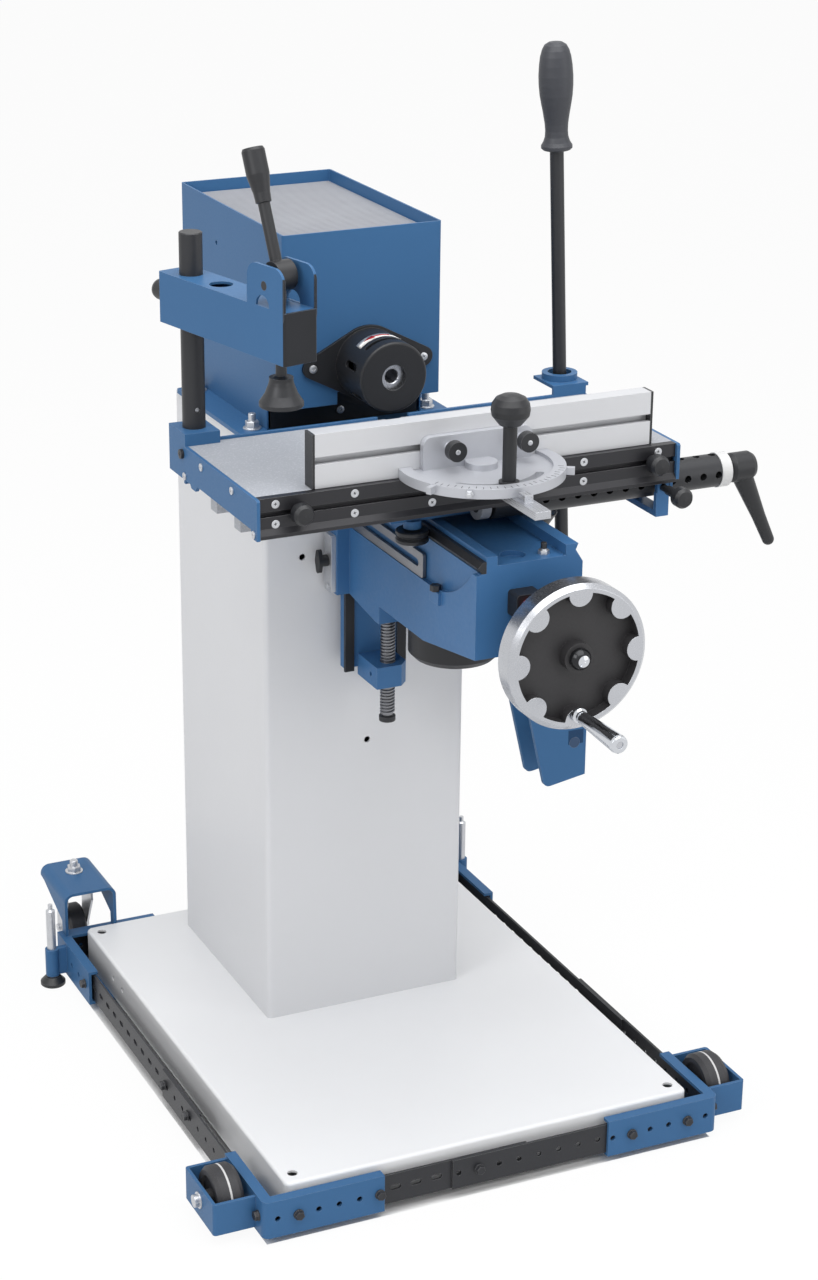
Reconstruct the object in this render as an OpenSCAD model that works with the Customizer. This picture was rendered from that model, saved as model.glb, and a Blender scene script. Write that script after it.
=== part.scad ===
// Horizontal slot mortiser with a compound table, on a mobile base.
// Millimetres. X runs to the right, Y to the back, Z up; the floor is z = 0.

/* [Base tray] */
// Width of the base tray across the machine
tray_w = 520; // [500:10:560]
// Depth of the base tray, front to back
tray_d = 690; // [670:10:730]
// Height of the tray's folded rim
tray_h = 51; // [47:1:55]
// Sheet thickness of the tray
tray_sheet = 3; // [2:0.5:4]

/* [Column] */
// Width of the column tube
column_w = 264; // [244:4:284]
// Depth of the column tube
column_d = 287; // [275:1:300]
// Height of the column above the tray
column_h = 741; // [701:1:781]
// Wall of the column tube
column_wall = 3; // [2:0.5:5]

/* [Motor head] */
// Width of the motor cover
cover_w = 200; // [196:2:220]
// Height of the motor cover above its plate
cover_h = 242; // [222:1:262]
// Outer radius of the chuck guard
guard_r = 41.5; // [40:0.5:44]
// Radius of the chuck body
chuck_r = 29; // [26:0.5:32]
// Radius of the tool bore in the chuck
chuck_bore_r = 8; // [5:0.5:10]
// Radius of the spindle shaft
spindle_r = 12; // [10:0.5:14]

/* [Knee and rise feed] */
// Length of the knee casting, back to front
knee_l = 332; // [328:1:346]
// Radius of the rise screw
screw_r = 9; // [8:0.5:10]
// Radius of the handwheel rim
handwheel_r = 83; // [80:1:92]
// Inward lobes of the handwheel rim
scallops = 8; // [6:1:10]
// Length of the crank handle
handle_l = 92; // [80:1:110]

/* [Table] */
// Width of the work table
table_w = 500; // [490:2:520]
// Thickness of the table plate
table_t = 12; // [10:0.5:14]
// Pitch of the index holes along the rod
index_pitch = 20; // [16:1:26]

/* [Clamp] */
// Height of the clamp post above its socket
post_h = 220; // [204:1:250]
// Reach of the clamp, post axis to foot axis
arm_reach = 168; // [150:1:180]
// Radius of the bell foot
foot_r = 24; // [19:0.5:28]

/* [Mitre gauge] */
// Radius of the protractor head
mitre_r = 91; // [86:1:96]
// Length of the fence
fence_l = 409; // [370:1:430]
// Height of the fence
fence_h = 60; // [52:1:80]

/* [Feed lever] */
// Length of the feed lever above its pivot
lever_l = 855; // [780:1:900]
// Radius of the lever rod
lever_r = 8; // [7:0.5:9]

/* [Mobile frame] */
// Radius of the fixed front wheels
wheel_r = 36; // [34:0.5:38]
// Radius of the swivel wheels at the back
caster_r = 30; // [28:0.5:31]
// Pitch of the holes along the rails
rail_pitch = 26; // [20:1:40]

/* [Fits] */
// Radial clearance of the running fits
run_fit = 0.05; // [0.02:0.01:0.08]
// Gap between sliding faces
slide_gap = 0.3; // [0.2:0.05:0.4]

/* [Hidden] */
$fn = 64;
blue = "SteelBlue";
black = "DimGray";
silver = "LightGray";
pale = "WhiteSmoke";
zinc = "Silver";

// Heights that the pieces share
tray_z0 = 14;
tray_z = tray_z0 + tray_h;
deck_z = tray_z + column_h;
deck_t = 5;
head_z = deck_z + deck_t;
cover_z = head_z + cover_h;
spindle_x = 6;
spindle_z = deck_z + 89;
knee_z = deck_z - 26;
table_z = knee_z + 72;
table_z0 = table_z - table_t;
hand_z = knee_z - 104.5;
pivot_z = knee_z - 375;

// Column and motor head
column_y0 = 16;
column_y1 = column_y0 + column_d;
stud_x = 113;
stud_y = [column_y0 + 79, column_y1 - 31];
cover_y0 = 30;
cover_y1 = cover_y0 + 322;
cover_wall = 2;
guard_y = -45;
guard_wall = 4;
ear_x = 70.5;
ear_r = 12;

// Vertical way, knee and rise screw
way_x = 40;
way_neck = 20;
way_y = [-12, 2];
knee_x0 = -36;
knee_x1 = 92;
knee_back = -14;
knee_front = knee_back - knee_l;
screw_y = -46;
journal_r = 7;
screw_gear_r = 25.8;
hand_x = 55;
shaft_r = 10;
shaft_gear_r = 29;
pot_x = 52;
pot_y = -118;
pot_r = 54;
bar_x = -24;
bar_z = knee_z - 19.5;
ledge_z = knee_z - 68;
lock_z = knee_z - 111;

// Handwheel
wheel_y0 = knee_front - 36;
wheel_y1 = wheel_y0 - 30;
crank_r = handwheel_r - 19;
crank_pin_r = 4;
handle_y = wheel_y1 - 2;

// Carriage rollers and table
roller_x = [-50.5, 105];
roller_y = [-216, -100];
roller_z = [knee_z - 20, knee_z - 6];
roller_pin_r = 4;
rib_y = [-190, -140];
table_x0 = -5 - table_w / 2;
table_x1 = -5 + table_w / 2;
table_y0 = -264;
table_y1 = -59;
plate_t = 4;
groove_x = -2;
groove_w = 19;
groove_z = table_z - 8.5;
rod_y = -240;
rod_z = table_z - 50;
rod_r = 19;
rod_end = table_x1 + 72;
rod_neck_r = 10;
plunger_x = table_x1 - 13;
plunger_r = 4;
stop_x = [table_x0 + 44, table_x1 - 29];
stop_z = table_z - 18;

// Clamp
post_x = table_x0 + 17;
post_y = -42;
post_r = 13;
arm_turn = -77.1;
arm_half = 21.5;
arm_z0 = table_z + 130.5;
arm_z1 = table_z + 187;
arm_s0 = -33;
arm_s1 = arm_reach + 36;
cam_z = table_z + 210;
cam_r = 16;
cam_e = 8;
spindle_foot_z = table_z + 77;

// Mitre gauge
mitre_y = -285;
mitre_slot_r = 65;
mitre_z0 = table_z + 0.4;
fence_x0 = -191;
fence_y0 = -266;
fence_y1 = fence_y0 + 20;
fence_z0 = table_z + 0.5;
fence_slot_z = table_z + 31;

// Feed lever
lever_x = table_x1 + 5;
lever_y = -30;
collar_x = lever_x - 22;
collar_z = table_z + 14;
lever_lean = atan((lever_x - collar_x) / (collar_z + 4 - pivot_z));

// Mobile frame
frame_x = tray_w / 2 + 34;
frame_y0 = -tray_d / 2 - 17;
frame_y1 = tray_d / 2 + 20;
frame_z = [10, 57];
frame_t = 4;
rail_t = 3;
box_w = 51;
wheel_y = frame_y0 + 69;
wheel_w = 32;
axle_r = 5;
caster_x = frame_x - 42;
caster_y = frame_y1 + 47;
caster_trail = 15;
arch_z = 118;
foot_left = [frame_x + 19, frame_y1 - 34];
foot_right = [frame_x + 12, frame_y1 - 3];
level_r = 6;

// The part's origin is under the middle of its bounding box
reach_right = table_x1 + 157.5;
reach_left = frame_x + box_w + 7;
reach_front = handle_l - handle_y;
reach_back = caster_y + caster_trail + caster_r;
shift_x = (reach_left - reach_right) / 2;
shift_y = (reach_front - reach_back) / 2;

// Puts a piece drawn in the machine's own axes over the part's origin
module placed() {
  translate([shift_x, shift_y, 0]) children();
}

// A block between two corners
module box(x0, x1, y0, y1, z0, z1) {
  translate([x0, y0, z0]) cube([x1 - x0, y1 - y0, z1 - z0]);
}

// Round bars along each axis
module xcyl(r, x0, x1, y, z) {
  translate([x0, y, z]) rotate([0, 90, 0]) cylinder(r = r, h = x1 - x0);
}
module ycyl(r, y0, y1, x, z) {
  translate([x, y1, z]) rotate([90, 0, 0]) cylinder(r = r, h = y1 - y0);
}
module zcyl(r, z0, z1, x, y) {
  translate([x, y, z0]) cylinder(r = r, h = z1 - z0);
}

// Outlines pushed along X, Y or Z
module yz_plate(x0, x1) {
  translate([x0, 0, 0]) rotate([90, 0, 90]) linear_extrude(x1 - x0) children();
}
module xz_plate(y0, y1) {
  translate([0, y1, 0]) rotate([90, 0, 0]) linear_extrude(y1 - y0) children();
}
module xy_plate(z0, z1) {
  translate([0, 0, z0]) linear_extrude(z1 - z0) children();
}

// An outline turned about an axis along Y; its height runs to the front
module turned_y(x, z) {
  translate([x, 0, z]) rotate([90, 0, 0]) rotate_extrude() children();
}
// An outline turned about an axis along X; its height runs to the right
module turned_x(y, z) {
  translate([0, y, z]) rotate([0, 90, 0]) rotate_extrude() children();
}

// A rectangle with round corners
module rrect(x0, x1, y0, y1, r) {
  translate([x0 + r, y0]) square([x1 - x0 - 2 * r, y1 - y0]);
  translate([x0, y0 + r]) square([x1 - x0, y1 - y0 - 2 * r]);
  for (x = [x0 + r, x1 - r], y = [y0 + r, y1 - r]) translate([x, y]) circle(r);
}

// A slot with round ends, along the first or the second axis
module slot_a(a0, a1, b, r) {
  translate([a0, b - r]) square([a1 - a0, 2 * r]);
  for (a = [a0, a1]) translate([a, b]) circle(r);
}
module slot_b(a, b0, b1, r) {
  translate([a - r, b0]) square([2 * r, b1 - b0]);
  for (b = [b0, b1]) translate([a, b]) circle(r);
}

// Two circles at a distance, joined by their tangents
module tangent_arm(r0, r1, d) {
  a = acos((r0 - r1) / d);
  circle(r0);
  translate([d, 0]) circle(r1);
  polygon([
    [r0 * cos(a), r0 * sin(a)], [d + r1 * cos(a), r1 * sin(a)],
    [d + r1 * cos(a), -r1 * sin(a)], [r0 * cos(a), -r0 * sin(a)]
  ]);
}

// A slab with round corners and a round top edge
module soft_profile(w, z0, z1, r) {
  translate([-w / 2, z0]) square([w, z1 - z0 - r]);
  translate([-w / 2 + r, z0]) square([w - 2 * r, z1 - z0]);
  for (s = [-1, 1]) translate([s * (w / 2 - r), z1 - r]) circle(r);
}
module soft_slab(w, d, z0, z1, corner, edge) {
  xz_plate(corner - d / 2, d / 2 - corner) soft_profile(w, z0, z1, edge);
  yz_plate(corner - w / 2, w / 2 - corner) soft_profile(d, z0, z1, edge);
  for (x = [-1, 1], y = [-1, 1])
    translate([x * (w / 2 - corner), y * (d / 2 - corner), 0])
      rotate_extrude() intersection() {
        soft_profile(2 * corner, z0, z1, edge);
        translate([0, z0]) square([corner, z1 - z0]);
      }
}

// Base tray: folded sheet, open below, with four anchor holes
module base_tray() {
  t = tray_sheet;
  color(pale) placed() difference() {
    soft_slab(tray_w, tray_d, tray_z0, tray_z, 8, 4);
    soft_slab(tray_w - 2 * t, tray_d - 2 * t, tray_z0 - 1, tray_z - t, 4, 0.5);
    for (x = [-1, 1], y = [-1, 1])
      zcyl(6, tray_z - 10, tray_z + 1, x * (tray_w / 2 - 16), y * (tray_d / 2 - 19));
    for (y = [tray_d / 2 - 107, tray_d / 2 - 142]) xcyl(3.5, -tray_w / 2 - 1, -tray_w / 2 + 10, y, tray_z - 24);
  }
}

// Column: square tube with two cable holes in its front
module column() {
  w = column_w / 2;
  t = column_wall;
  color(pale) placed() difference() {
    xy_plate(tray_z, deck_z) rrect(-w, w, column_y0, column_y1, 6);
    xy_plate(tray_z - 1, deck_z - t) rrect(t - w, w - t, column_y0 + t, column_y1 - t, 1);
    zcyl(20, deck_z - t - 1, deck_z + 1, 0, column_y0 + column_d / 2);
    ycyl(4, column_y0 - 1, column_y0 + t + 1, -83, deck_z - 135);
    ycyl(4, column_y0 - 1, column_y0 + t + 1, 2, deck_z - 383);
  }
}

// Plate that carries the motor on the column
module motor_plate() {
  color(blue) placed() difference() {
    xy_plate(deck_z, head_z) rrect(-135, 135, column_y0 - 4, column_y1 - 11, 6);
    for (x = [-stud_x, stud_x], y = stud_y) zcyl(5.5, deck_z - 1, head_z + 1, x, y);
    zcyl(20, deck_z - 1, head_z + 1, 0, column_y0 + column_d / 2);
  }
}

// Motor: foot, pedestal, ribbed barrel and bearing bore
module motor() {
  foot = cover_w / 2 - 5;
  color(black) placed() difference() {
    union() {
      box(-foot, foot, 82, 300, head_z, head_z + 22);
      xz_plate(82, 290) polygon([
        [-foot, head_z + 21], [foot, head_z + 21], [spindle_x + 50, spindle_z - 16],
        [spindle_x - 50, spindle_z - 16]
      ]);
      ycyl(54, 44, 300, spindle_x, spindle_z);
      ycyl(44, 33, 45, spindle_x, spindle_z);
      for (y = [80 : 24 : 272]) ycyl(58, y, y + 5, spindle_x, spindle_z);
    }
    ycyl(spindle_r + run_fit, 32, 230, spindle_x, spindle_z);
  }
}

// Motor cover: folded sheet with a tray top and a cut-out at the foot of its front
module motor_cover() {
  w = cover_w / 2;
  t = cover_wall;
  color(blue) placed() difference() {
    xy_plate(head_z, cover_z) rrect(-w, w, cover_y0, cover_y1, 3);
    xy_plate(head_z - 1, cover_z - 17) rrect(t - w, w - t, cover_y0 + t, cover_y1 - t, 1);
    xy_plate(cover_z - 15, cover_z + 1) rrect(t - w, w - t, cover_y0 + t, cover_y1 - t, 1);
    box(-w - 1, w + 1, cover_y0 - 1, cover_y0 + 51, head_z - 1, spindle_z - 47);
    box(-32, 60, cover_y0 - 1, cover_y0 + t + 1, spindle_z - 48, spindle_z - 32);
    ycyl(34, cover_y0 - 1, cover_y0 + t + 1, spindle_x, spindle_z);
    xcyl(3, -w - 1, t + 1 - w, 236, cover_z - 51);
    for (x = [-60 : 30 : 60])
      xz_plate(cover_y1 - t - 1, cover_y1 + 1) slot_b(x, head_z + 89, head_z + 159, 4);
  }
}

// Chuck guard: a cup with side windows on a two-ear flange
module chuck_guard() {
  inner = guard_r - guard_wall;
  color(black) placed() difference() {
    union() {
      turned_y(spindle_x, spindle_z) difference() {
        union() {
          translate([0, -cover_y0]) square([guard_r, cover_y0 - guard_y - 3]);
          translate([0, -cover_y0]) square([guard_r - 3, cover_y0 - guard_y]);
          translate([guard_r - 3, -guard_y - 3]) circle(3);
        }
        translate([0, -cover_y0 - 1]) square([inner, cover_y0 - guard_y - guard_wall + 1]);
        translate([0, -cover_y0 - 1]) square([15, cover_y0 - guard_y + 2]);
      }
      difference() {
        xz_plate(cover_y0 - 4, cover_y0) translate([spindle_x, spindle_z]) {
          tangent_arm(guard_r + 3, ear_r, ear_x);
          mirror([1, 0]) tangent_arm(guard_r + 3, ear_r, ear_x);
        }
        ycyl(inner, cover_y0 - 5, cover_y0 + 1, spindle_x, spindle_z);
        for (s = [-1, 1]) ycyl(2.6, cover_y0 - 5, cover_y0 + 1, spindle_x + s * ear_x, spindle_z);
      }
    }
    for (a = [15, 165, 220, 320]) translate([spindle_x, 0, spindle_z]) rotate([0, -a, 0])
      yz_plate(inner - 3, guard_r + 3) slot_a(-24, -4, 0, 4.5);
    for (a = [68, 85, 102, 119]) translate([spindle_x, 0, spindle_z]) rotate([0, -a, 0])
      yz_plate(inner - 3, guard_r + 3) slot_b(-26, -6, 6, 3.5);
  }
}

// Chuck and spindle shaft in one
module spindle_chuck() {
  color(zinc) placed() turned_y(spindle_x, spindle_z) polygon([
    [chuck_bore_r, 37], [chuck_bore_r + 1, 38], [chuck_r - 8, 38], [chuck_r, 30], [chuck_r, -6],
    [chuck_r - 4, -12], [17, -12], [17, -22], [spindle_r, -22], [spindle_r, -220], [0, -220],
    [0, -16], [chuck_bore_r, -16]
  ]);
}

// Vertical way on the column, with the nut nose of the rise screw
module column_way() {
  z0 = knee_z - 248;
  z1 = knee_z + 20;
  color(blue) placed() difference() {
    union() {
      box(-way_x, way_x, way_y[0] + 3, way_y[1], z0, z1);
      box(-way_neck, way_neck, way_y[1] - 1, column_y0, z0, z1);
      for (s = [-1, 1]) translate([s * (way_x - 6) - 6, 0, 0]) box(0, 12, way_y[0], way_y[0] + 4, z0 - 4, z1);
      xy_plate(z0 - 10, z0 + 17) polygon([
        [-22, way_y[0] + 4], [-22, -64], [10, -64], [21, -52], [21, way_y[0] + 4]
      ]);
    }
    zcyl(screw_r + slide_gap, z0 - 11, z0 + 18, 0, screw_y);
    xcyl(3, -30, 0, screw_y, z0 + 4);
  }
}

// Rise screw with its thread lands left plain and its gear
module leadscrew() {
  color(zinc) placed() {
    zcyl(screw_r + 1, knee_z - 307, knee_z - 300, 0, screw_y);
    zcyl(screw_r, knee_z - 301, knee_z - 161.5, 0, screw_y);
    zcyl(journal_r, knee_z - 162, hand_z + 20, 0, screw_y);
    zcyl(screw_gear_r, hand_z - 20, hand_z + 20, 0, screw_y);
  }
}

// Knee casting with the guide bed on top and the gear box inside
module knee() {
  g = slide_gap;
  color(blue) placed() difference() {
    union() {
      yz_plate(knee_x0, knee_x1) polygon([
        [knee_back, knee_z - 151], [-88, knee_z - 161], [-99, knee_z - 161], [-99, knee_z - 139],
        [-217, knee_z - 139], [knee_front, knee_z - 117], [knee_front, knee_z], [knee_back, knee_z]
      ]);
      box(-52, knee_x1, knee_back - 1, 10, knee_z - 151, knee_z - 20);
      box(knee_x0 - 4, knee_x0 + 1, -262, -240, ledge_z - 14, ledge_z);
      ycyl(24, knee_front, knee_front + 52, hand_x, hand_z);
    }
    box(-way_x - g, way_x + g, way_y[0] - g, way_y[1] + g, knee_z - 200, knee_z + 1);
    box(-way_neck - g, way_neck + g, way_y[1], 11, knee_z - 200, knee_z + 1);
    box(knee_x0 - 1, bar_x, knee_front - 1, 11, bar_z, knee_z + 1);
    box(knee_x0 - 1, bar_x - 7, knee_front - 1, 11, bar_z - 1.5, knee_z);
    box(bar_x - 1, -10, knee_front - 1, 11, knee_z - 1, knee_z + 1);
    box(-11, 71, knee_front - 1, 11, knee_z - 12, knee_z + 1);
    xz_plate(knee_front - 1, 11) polygon([
      [86, knee_z + 1], [86, knee_z], [83, knee_z - 7], [92, knee_z - 21], [98, knee_z - 21], [98, knee_z + 1]
    ]);
    box(knee_x0 - 1, -30, -238, knee_back - 0.5, ledge_z, knee_z);
    xcyl(125, knee_x0 - 1, -30, -238, ledge_z + 125);
    box(-27.5, 86, -80, -19, knee_z - 146, knee_z - 68);
    yz_plate(-18, 76) polygon([
      [-79, knee_z - 131], [-217, knee_z - 131], [knee_front + 52, knee_z - 117],
      [knee_front + 52, knee_z - 28], [-79, knee_z - 28]
    ]);
    box(-10, 60, -286, -222, knee_z - 145, knee_z - 120);
    zcyl(14, knee_z - 18, knee_z, 20, knee_front + 26);
    zcyl(pot_r + slide_gap, knee_z - 170, knee_z - 139, pot_x, pot_y);
    ycyl(shaft_r + 1, knee_front + 40, -70, hand_x, hand_z);
    ycyl(shaft_r + run_fit, knee_front - 1, -70, hand_x, hand_z);
    ycyl(shaft_r + run_fit, -20, -4, hand_x, hand_z);
    zcyl(journal_r + run_fit, knee_z - 162, knee_z - 140, 0, screw_y);
    xcyl(4 + run_fit, -53, -42, 0, lock_z);
  }
}

// V bar that the left rollers run on
module bed_rail() {
  color(black) placed() xz_plate(knee_front, -60) polygon([
    [bar_x, bar_z], [bar_x - 5, bar_z], [bar_x - 10, bar_z + 6.5], [bar_x - 5, bar_z + 13], [bar_x, bar_z + 13]
  ]);
}

// Slotted depth-stop strip on the knee's left ledge
module depth_stop() {
  color(silver) placed() yz_plate(-35, -31) difference() {
    rrect(-212, -16, ledge_z, ledge_z + 29, 3);
    slot_a(-196, -34, ledge_z + 15, 4.5);
  }
}

// Round cover of the rise gears, under the knee
module gear_pot() {
  color(black) placed() translate([pot_x, pot_y, 0]) rotate_extrude() polygon([
    [0, knee_z - 205], [pot_r - 7, knee_z - 205], [pot_r, knee_z - 198], [pot_r, knee_z - 139],
    [0, knee_z - 139]
  ]);
}

// Gib plate at the left of the vertical way
module gib_plate() {
  color(silver) placed() difference() {
    yz_plate(-58, -52) rrect(-12, 8, knee_z - 149, knee_z - 78, 2);
    xcyl(4 + run_fit, -59, -51, 0, lock_z);
  }
}

// Wing screw that locks the knee
module knee_lock() {
  color(black) placed() {
    xcyl(4, -66, -42.5, 0, lock_z);
    xcyl(7, -68, -58.3, 0, lock_z);
    yz_plate(-71, -66) translate([0, lock_z]) rotate(90) union() {
      tangent_arm(7, 4, 10.5);
      mirror([1, 0]) tangent_arm(7, 4, 10.5);
    }
  }
}

// Bent bracket on the knee: two tapered cheeks that carry the feed lever's pivot
module lever_fork() {
  x0 = lever_x - 98;
  top = knee_z - 180;
  color(blue) placed() difference() {
    union() {
      box(knee_x1, knee_x1 + 8, lever_y - 28, lever_y + 28, top - 8, top + 50);
      box(knee_x1, lever_x - 56, lever_y - 28, lever_y + 28, top - 8, top);
      for (y = [lever_y - 28, lever_y + 22]) xz_plate(y, y + 6) {
        polygon([
          [lever_x - 42, pivot_z - 46], [lever_x - 32, pivot_z - 53], [lever_x + 16, pivot_z - 45],
          [lever_x + 16, pivot_z + 21], [lever_x - 22, pivot_z + 21], [lever_x - 45, pivot_z + 60],
          [lever_x - 56, top - 1], [x0, top - 1]
        ]);
        translate([lever_x - 34, pivot_z - 45]) circle(8);
      }
    }
    ycyl(7 + run_fit, lever_y - 29, lever_y + 29, lever_x, pivot_z);
  }
}

// Cross block of the lever's universal joint
module lever_block() {
  color(zinc) placed() difference() {
    union() {
      box(lever_x - 12, lever_x + 12, lever_y - 18, lever_y + 18, pivot_z - 12, pivot_z + 12);
      ycyl(7, lever_y - 28, lever_y + 28, lever_x, pivot_z);
    }
    xcyl(5 + run_fit, lever_x - 13, lever_x + 13, lever_y, pivot_z);
  }
}

// Feed lever: clevis, rod and hand grip
module feed_lever() {
  g = lever_l - 122;
  color(black) placed() translate([lever_x, lever_y, pivot_z]) {
    for (s = [-1, 1]) translate([s * 15.3 - 3, 0, 0]) {
      yz_plate(0, 6) difference() {
        union() {
          circle(11);
          translate([-11, 0]) square([22, 31]);
        }
        circle(3);
      }
    }
    xcyl(5, -18.3, 18.3, 0, 0);
    box(-18.3, 18.3, -11, 11, 23, 31);
    rotate([0, -lever_lean, 0]) {
      zcyl(lever_r + 3, 30, 42, 0, 0);
      zcyl(lever_r, 30, g + 10, 0, 0);
      translate([0, 0, g]) rotate_extrude() polygon([
        [0, 0], [16, 0], [18, 2], [18, 5], [15.5, 9], [13.5, 15], [13, 22], [13.5, 30], [15, 40], [17, 51],
        [18.8, 62], [19.7, 74], [19.8, 84], [19, 96], [17.6, 106], [15.6, 113], [12.6, 118.5],
        [8, 121.4], [0, 122]
      ]);
    }
  }
}

// Switch housing beside the handwheel
module switch_box() {
  y0 = knee_front - 22;
  color(black) placed() difference() {
    xz_plate(y0, knee_front) rrect(2, 34, knee_z - 70, knee_z - 41, 4);
    ycyl(8 + slide_gap, y0 - 1, y0 + 16, 16, knee_z - 54);
  }
}

// Push button of the switch
module switch_button() {
  y0 = knee_front - 22;
  color("Red") placed() turned_y(16, knee_z - 54) polygon([
    [0, -y0 - 10], [8, -y0 - 10], [8, -y0 + 4], [7, -y0 + 5], [0, -y0 + 5]
  ]);
}

// Handwheel: dished web, scalloped rim, hub and crank pin
module handwheel() {
  r = handwheel_r;
  color(silver) placed() difference() {
    union() {
      turned_y(hand_x, hand_z) polygon([
        [0, -wheel_y0], [r - 3, -wheel_y0], [r, -wheel_y0 + 3], [r, -wheel_y1 - 5], [r - 5, -wheel_y1],
        [0, -wheel_y1]
      ]);
      ycyl(r - 30, wheel_y1, wheel_y0, hand_x, hand_z);
      ycyl(20, wheel_y0 - 5, knee_front - 4, hand_x, hand_z);
      ycyl(crank_pin_r, handle_y - handle_l + 1, wheel_y1 + 12, hand_x, hand_z - crank_r);
    }
    xz_plate(wheel_y1 - 1, wheel_y1 + 14) translate([hand_x, hand_z]) difference() {
      circle(r - 9.5);
      for (i = [0 : scallops - 1]) rotate(-90 + i * 360 / scallops) translate([r - 10.5, 0]) circle(14);
      circle(17);
    }
    turned_y(hand_x, hand_z) translate([24, -wheel_y0 - 1]) square([r - 36, 11]);
    ycyl(shaft_r, wheel_y1 - 1, knee_front, hand_x, hand_z);
  }
}

// Handwheel shaft with its gear and its domed nut
module wheel_shaft() {
  color(zinc) placed() {
    ycyl(shaft_r, wheel_y1 - 1, -4.5, hand_x, hand_z);
    ycyl(shaft_gear_r, -66, -24, hand_x, hand_z);
    turned_y(hand_x, hand_z) intersection() {
      translate([0, -wheel_y1]) circle(13);
      translate([0, -wheel_y1]) square([12, 14]);
    }
  }
}

// Turning handle on the crank pin
module crank_handle() {
  y = -handle_y;
  color(zinc) placed() turned_y(hand_x, hand_z - crank_r) polygon([
    [crank_pin_r + run_fit, y], [8, y], [8.8, y + 1], [8.8, y + 5], [6.6, y + 7], [6.6, y + 10], [7.4, y + 13],
    [10.4, y + handle_l - 4], [9.6, y + handle_l - 1], [8.6, y + handle_l],
    [crank_pin_r + run_fit, y + handle_l]
  ]);
}

// Roller carriage with the cross guide rib and the index bracket
module carriage() {
  xr = roller_x[1];
  color(blue) placed() difference() {
    union() {
      box(-78, 130, -219, -80, knee_z + 4, knee_z + 11);
      box(-78, 130, rib_y[0], rib_y[1], knee_z + 10, table_z0 - slide_gap);
      for (x = roller_x, y = roller_y) {
        zcyl(10, knee_z - 4, knee_z + 5, x, y);
        zcyl(roller_pin_r, roller_z[0] - 2, knee_z - 3, x, y);
        zcyl(7, roller_z[0] - 4, roller_z[0] - 0.5, x, y);
      }
      box(129, plunger_x + 8, -215, -203, knee_z + 5, knee_z + 13);
      box(plunger_x - 8, plunger_x + 8, -215, -203, knee_z - 12, knee_z + 13);
      box(plunger_x - 8, plunger_x + 8, -272, -203, knee_z - 12, knee_z - 5);
      xz_plate(-272, -266) {
        translate([plunger_x - 8, knee_z - 12]) square([16, 28]);
        translate([plunger_x - 7, knee_z + 10]) square([14, 16]);
      }
    }
    ycyl(plunger_r + run_fit, -273, -265, plunger_x, rod_z);
    box(-50, 100, -180, -150, knee_z + 30, table_z0 + 1);
  }
}

// Rollers: V groove on the left bar, V rim in the right groove
module left_roller(y) {
  color(zinc) placed() translate([roller_x[0], y, roller_z[0]]) rotate_extrude() polygon([
    [roller_pin_r + run_fit, 0], [17.5, 0], [18.5, 1], [18.5, 4], [16.2, 7], [18.5, 10], [18.5, 13], [17.5, 14],
    [roller_pin_r + run_fit, 14]
  ]);
}
module right_roller(y) {
  color(zinc) placed() translate([roller_x[1], y, roller_z[0]]) rotate_extrude() polygon([
    [roller_pin_r + run_fit, 0], [13.2, 0], [21.6, 13], [21.1, 14], [roller_pin_r + run_fit, 14]
  ]);
}
module roller_front_left() {
  left_roller(roller_y[0]);
}
module roller_rear_left() {
  left_roller(roller_y[1]);
}
module roller_front_right() {
  right_roller(roller_y[0]);
}
module roller_rear_right() {
  right_roller(roller_y[1]);
}

// Index plunger with its knob
module index_plunger() {
  color(black) placed() turned_y(plunger_x, rod_z) polygon([
    [0, 265], [plunger_r - 1, 265], [plunger_r, 266], [plunger_r, 284], [5.5, 284], [5.5, 305], [9, 305],
    [11.5, 308], [11.5, 317], [9, 321], [0, 322]
  ]);
}

// Table plates on both sides of the mitre groove
module table_top() {
  w = groove_w / 2;
  color(silver) placed() {
    box(table_x0, groove_x - w, table_y0, table_y1, table_z0, table_z);
    box(groove_x + w, table_x1, table_y0, table_y1, table_z0, table_z);
  }
}

// Bed under the table plates: groove floor, cross guides and rod hanger
module table_bed() {
  w = groove_w / 2;
  color(silver) placed() difference() {
    union() {
      box(groove_x - w, groove_x + w, table_y0, table_y1, table_z0, groove_z);
      for (y = [rib_y[0] - slide_gap - 18.7, rib_y[1] + slide_gap])
        box(table_x0 + 5, table_x1 - 5, y, y + 18.7, table_z - 57, table_z0);
      yz_plate(14, 26) {
        translate([rod_y, rod_z]) circle(18);
        translate([rod_y - 18, rod_z]) square([36, table_z0 - rod_z]);
      }
      box(groove_x - w, 26, rod_y - 18, -200, table_z0 - 4, table_z0);
    }
    xcyl(rod_neck_r + run_fit, 13, 27, rod_y, rod_z);
  }
}

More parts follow.
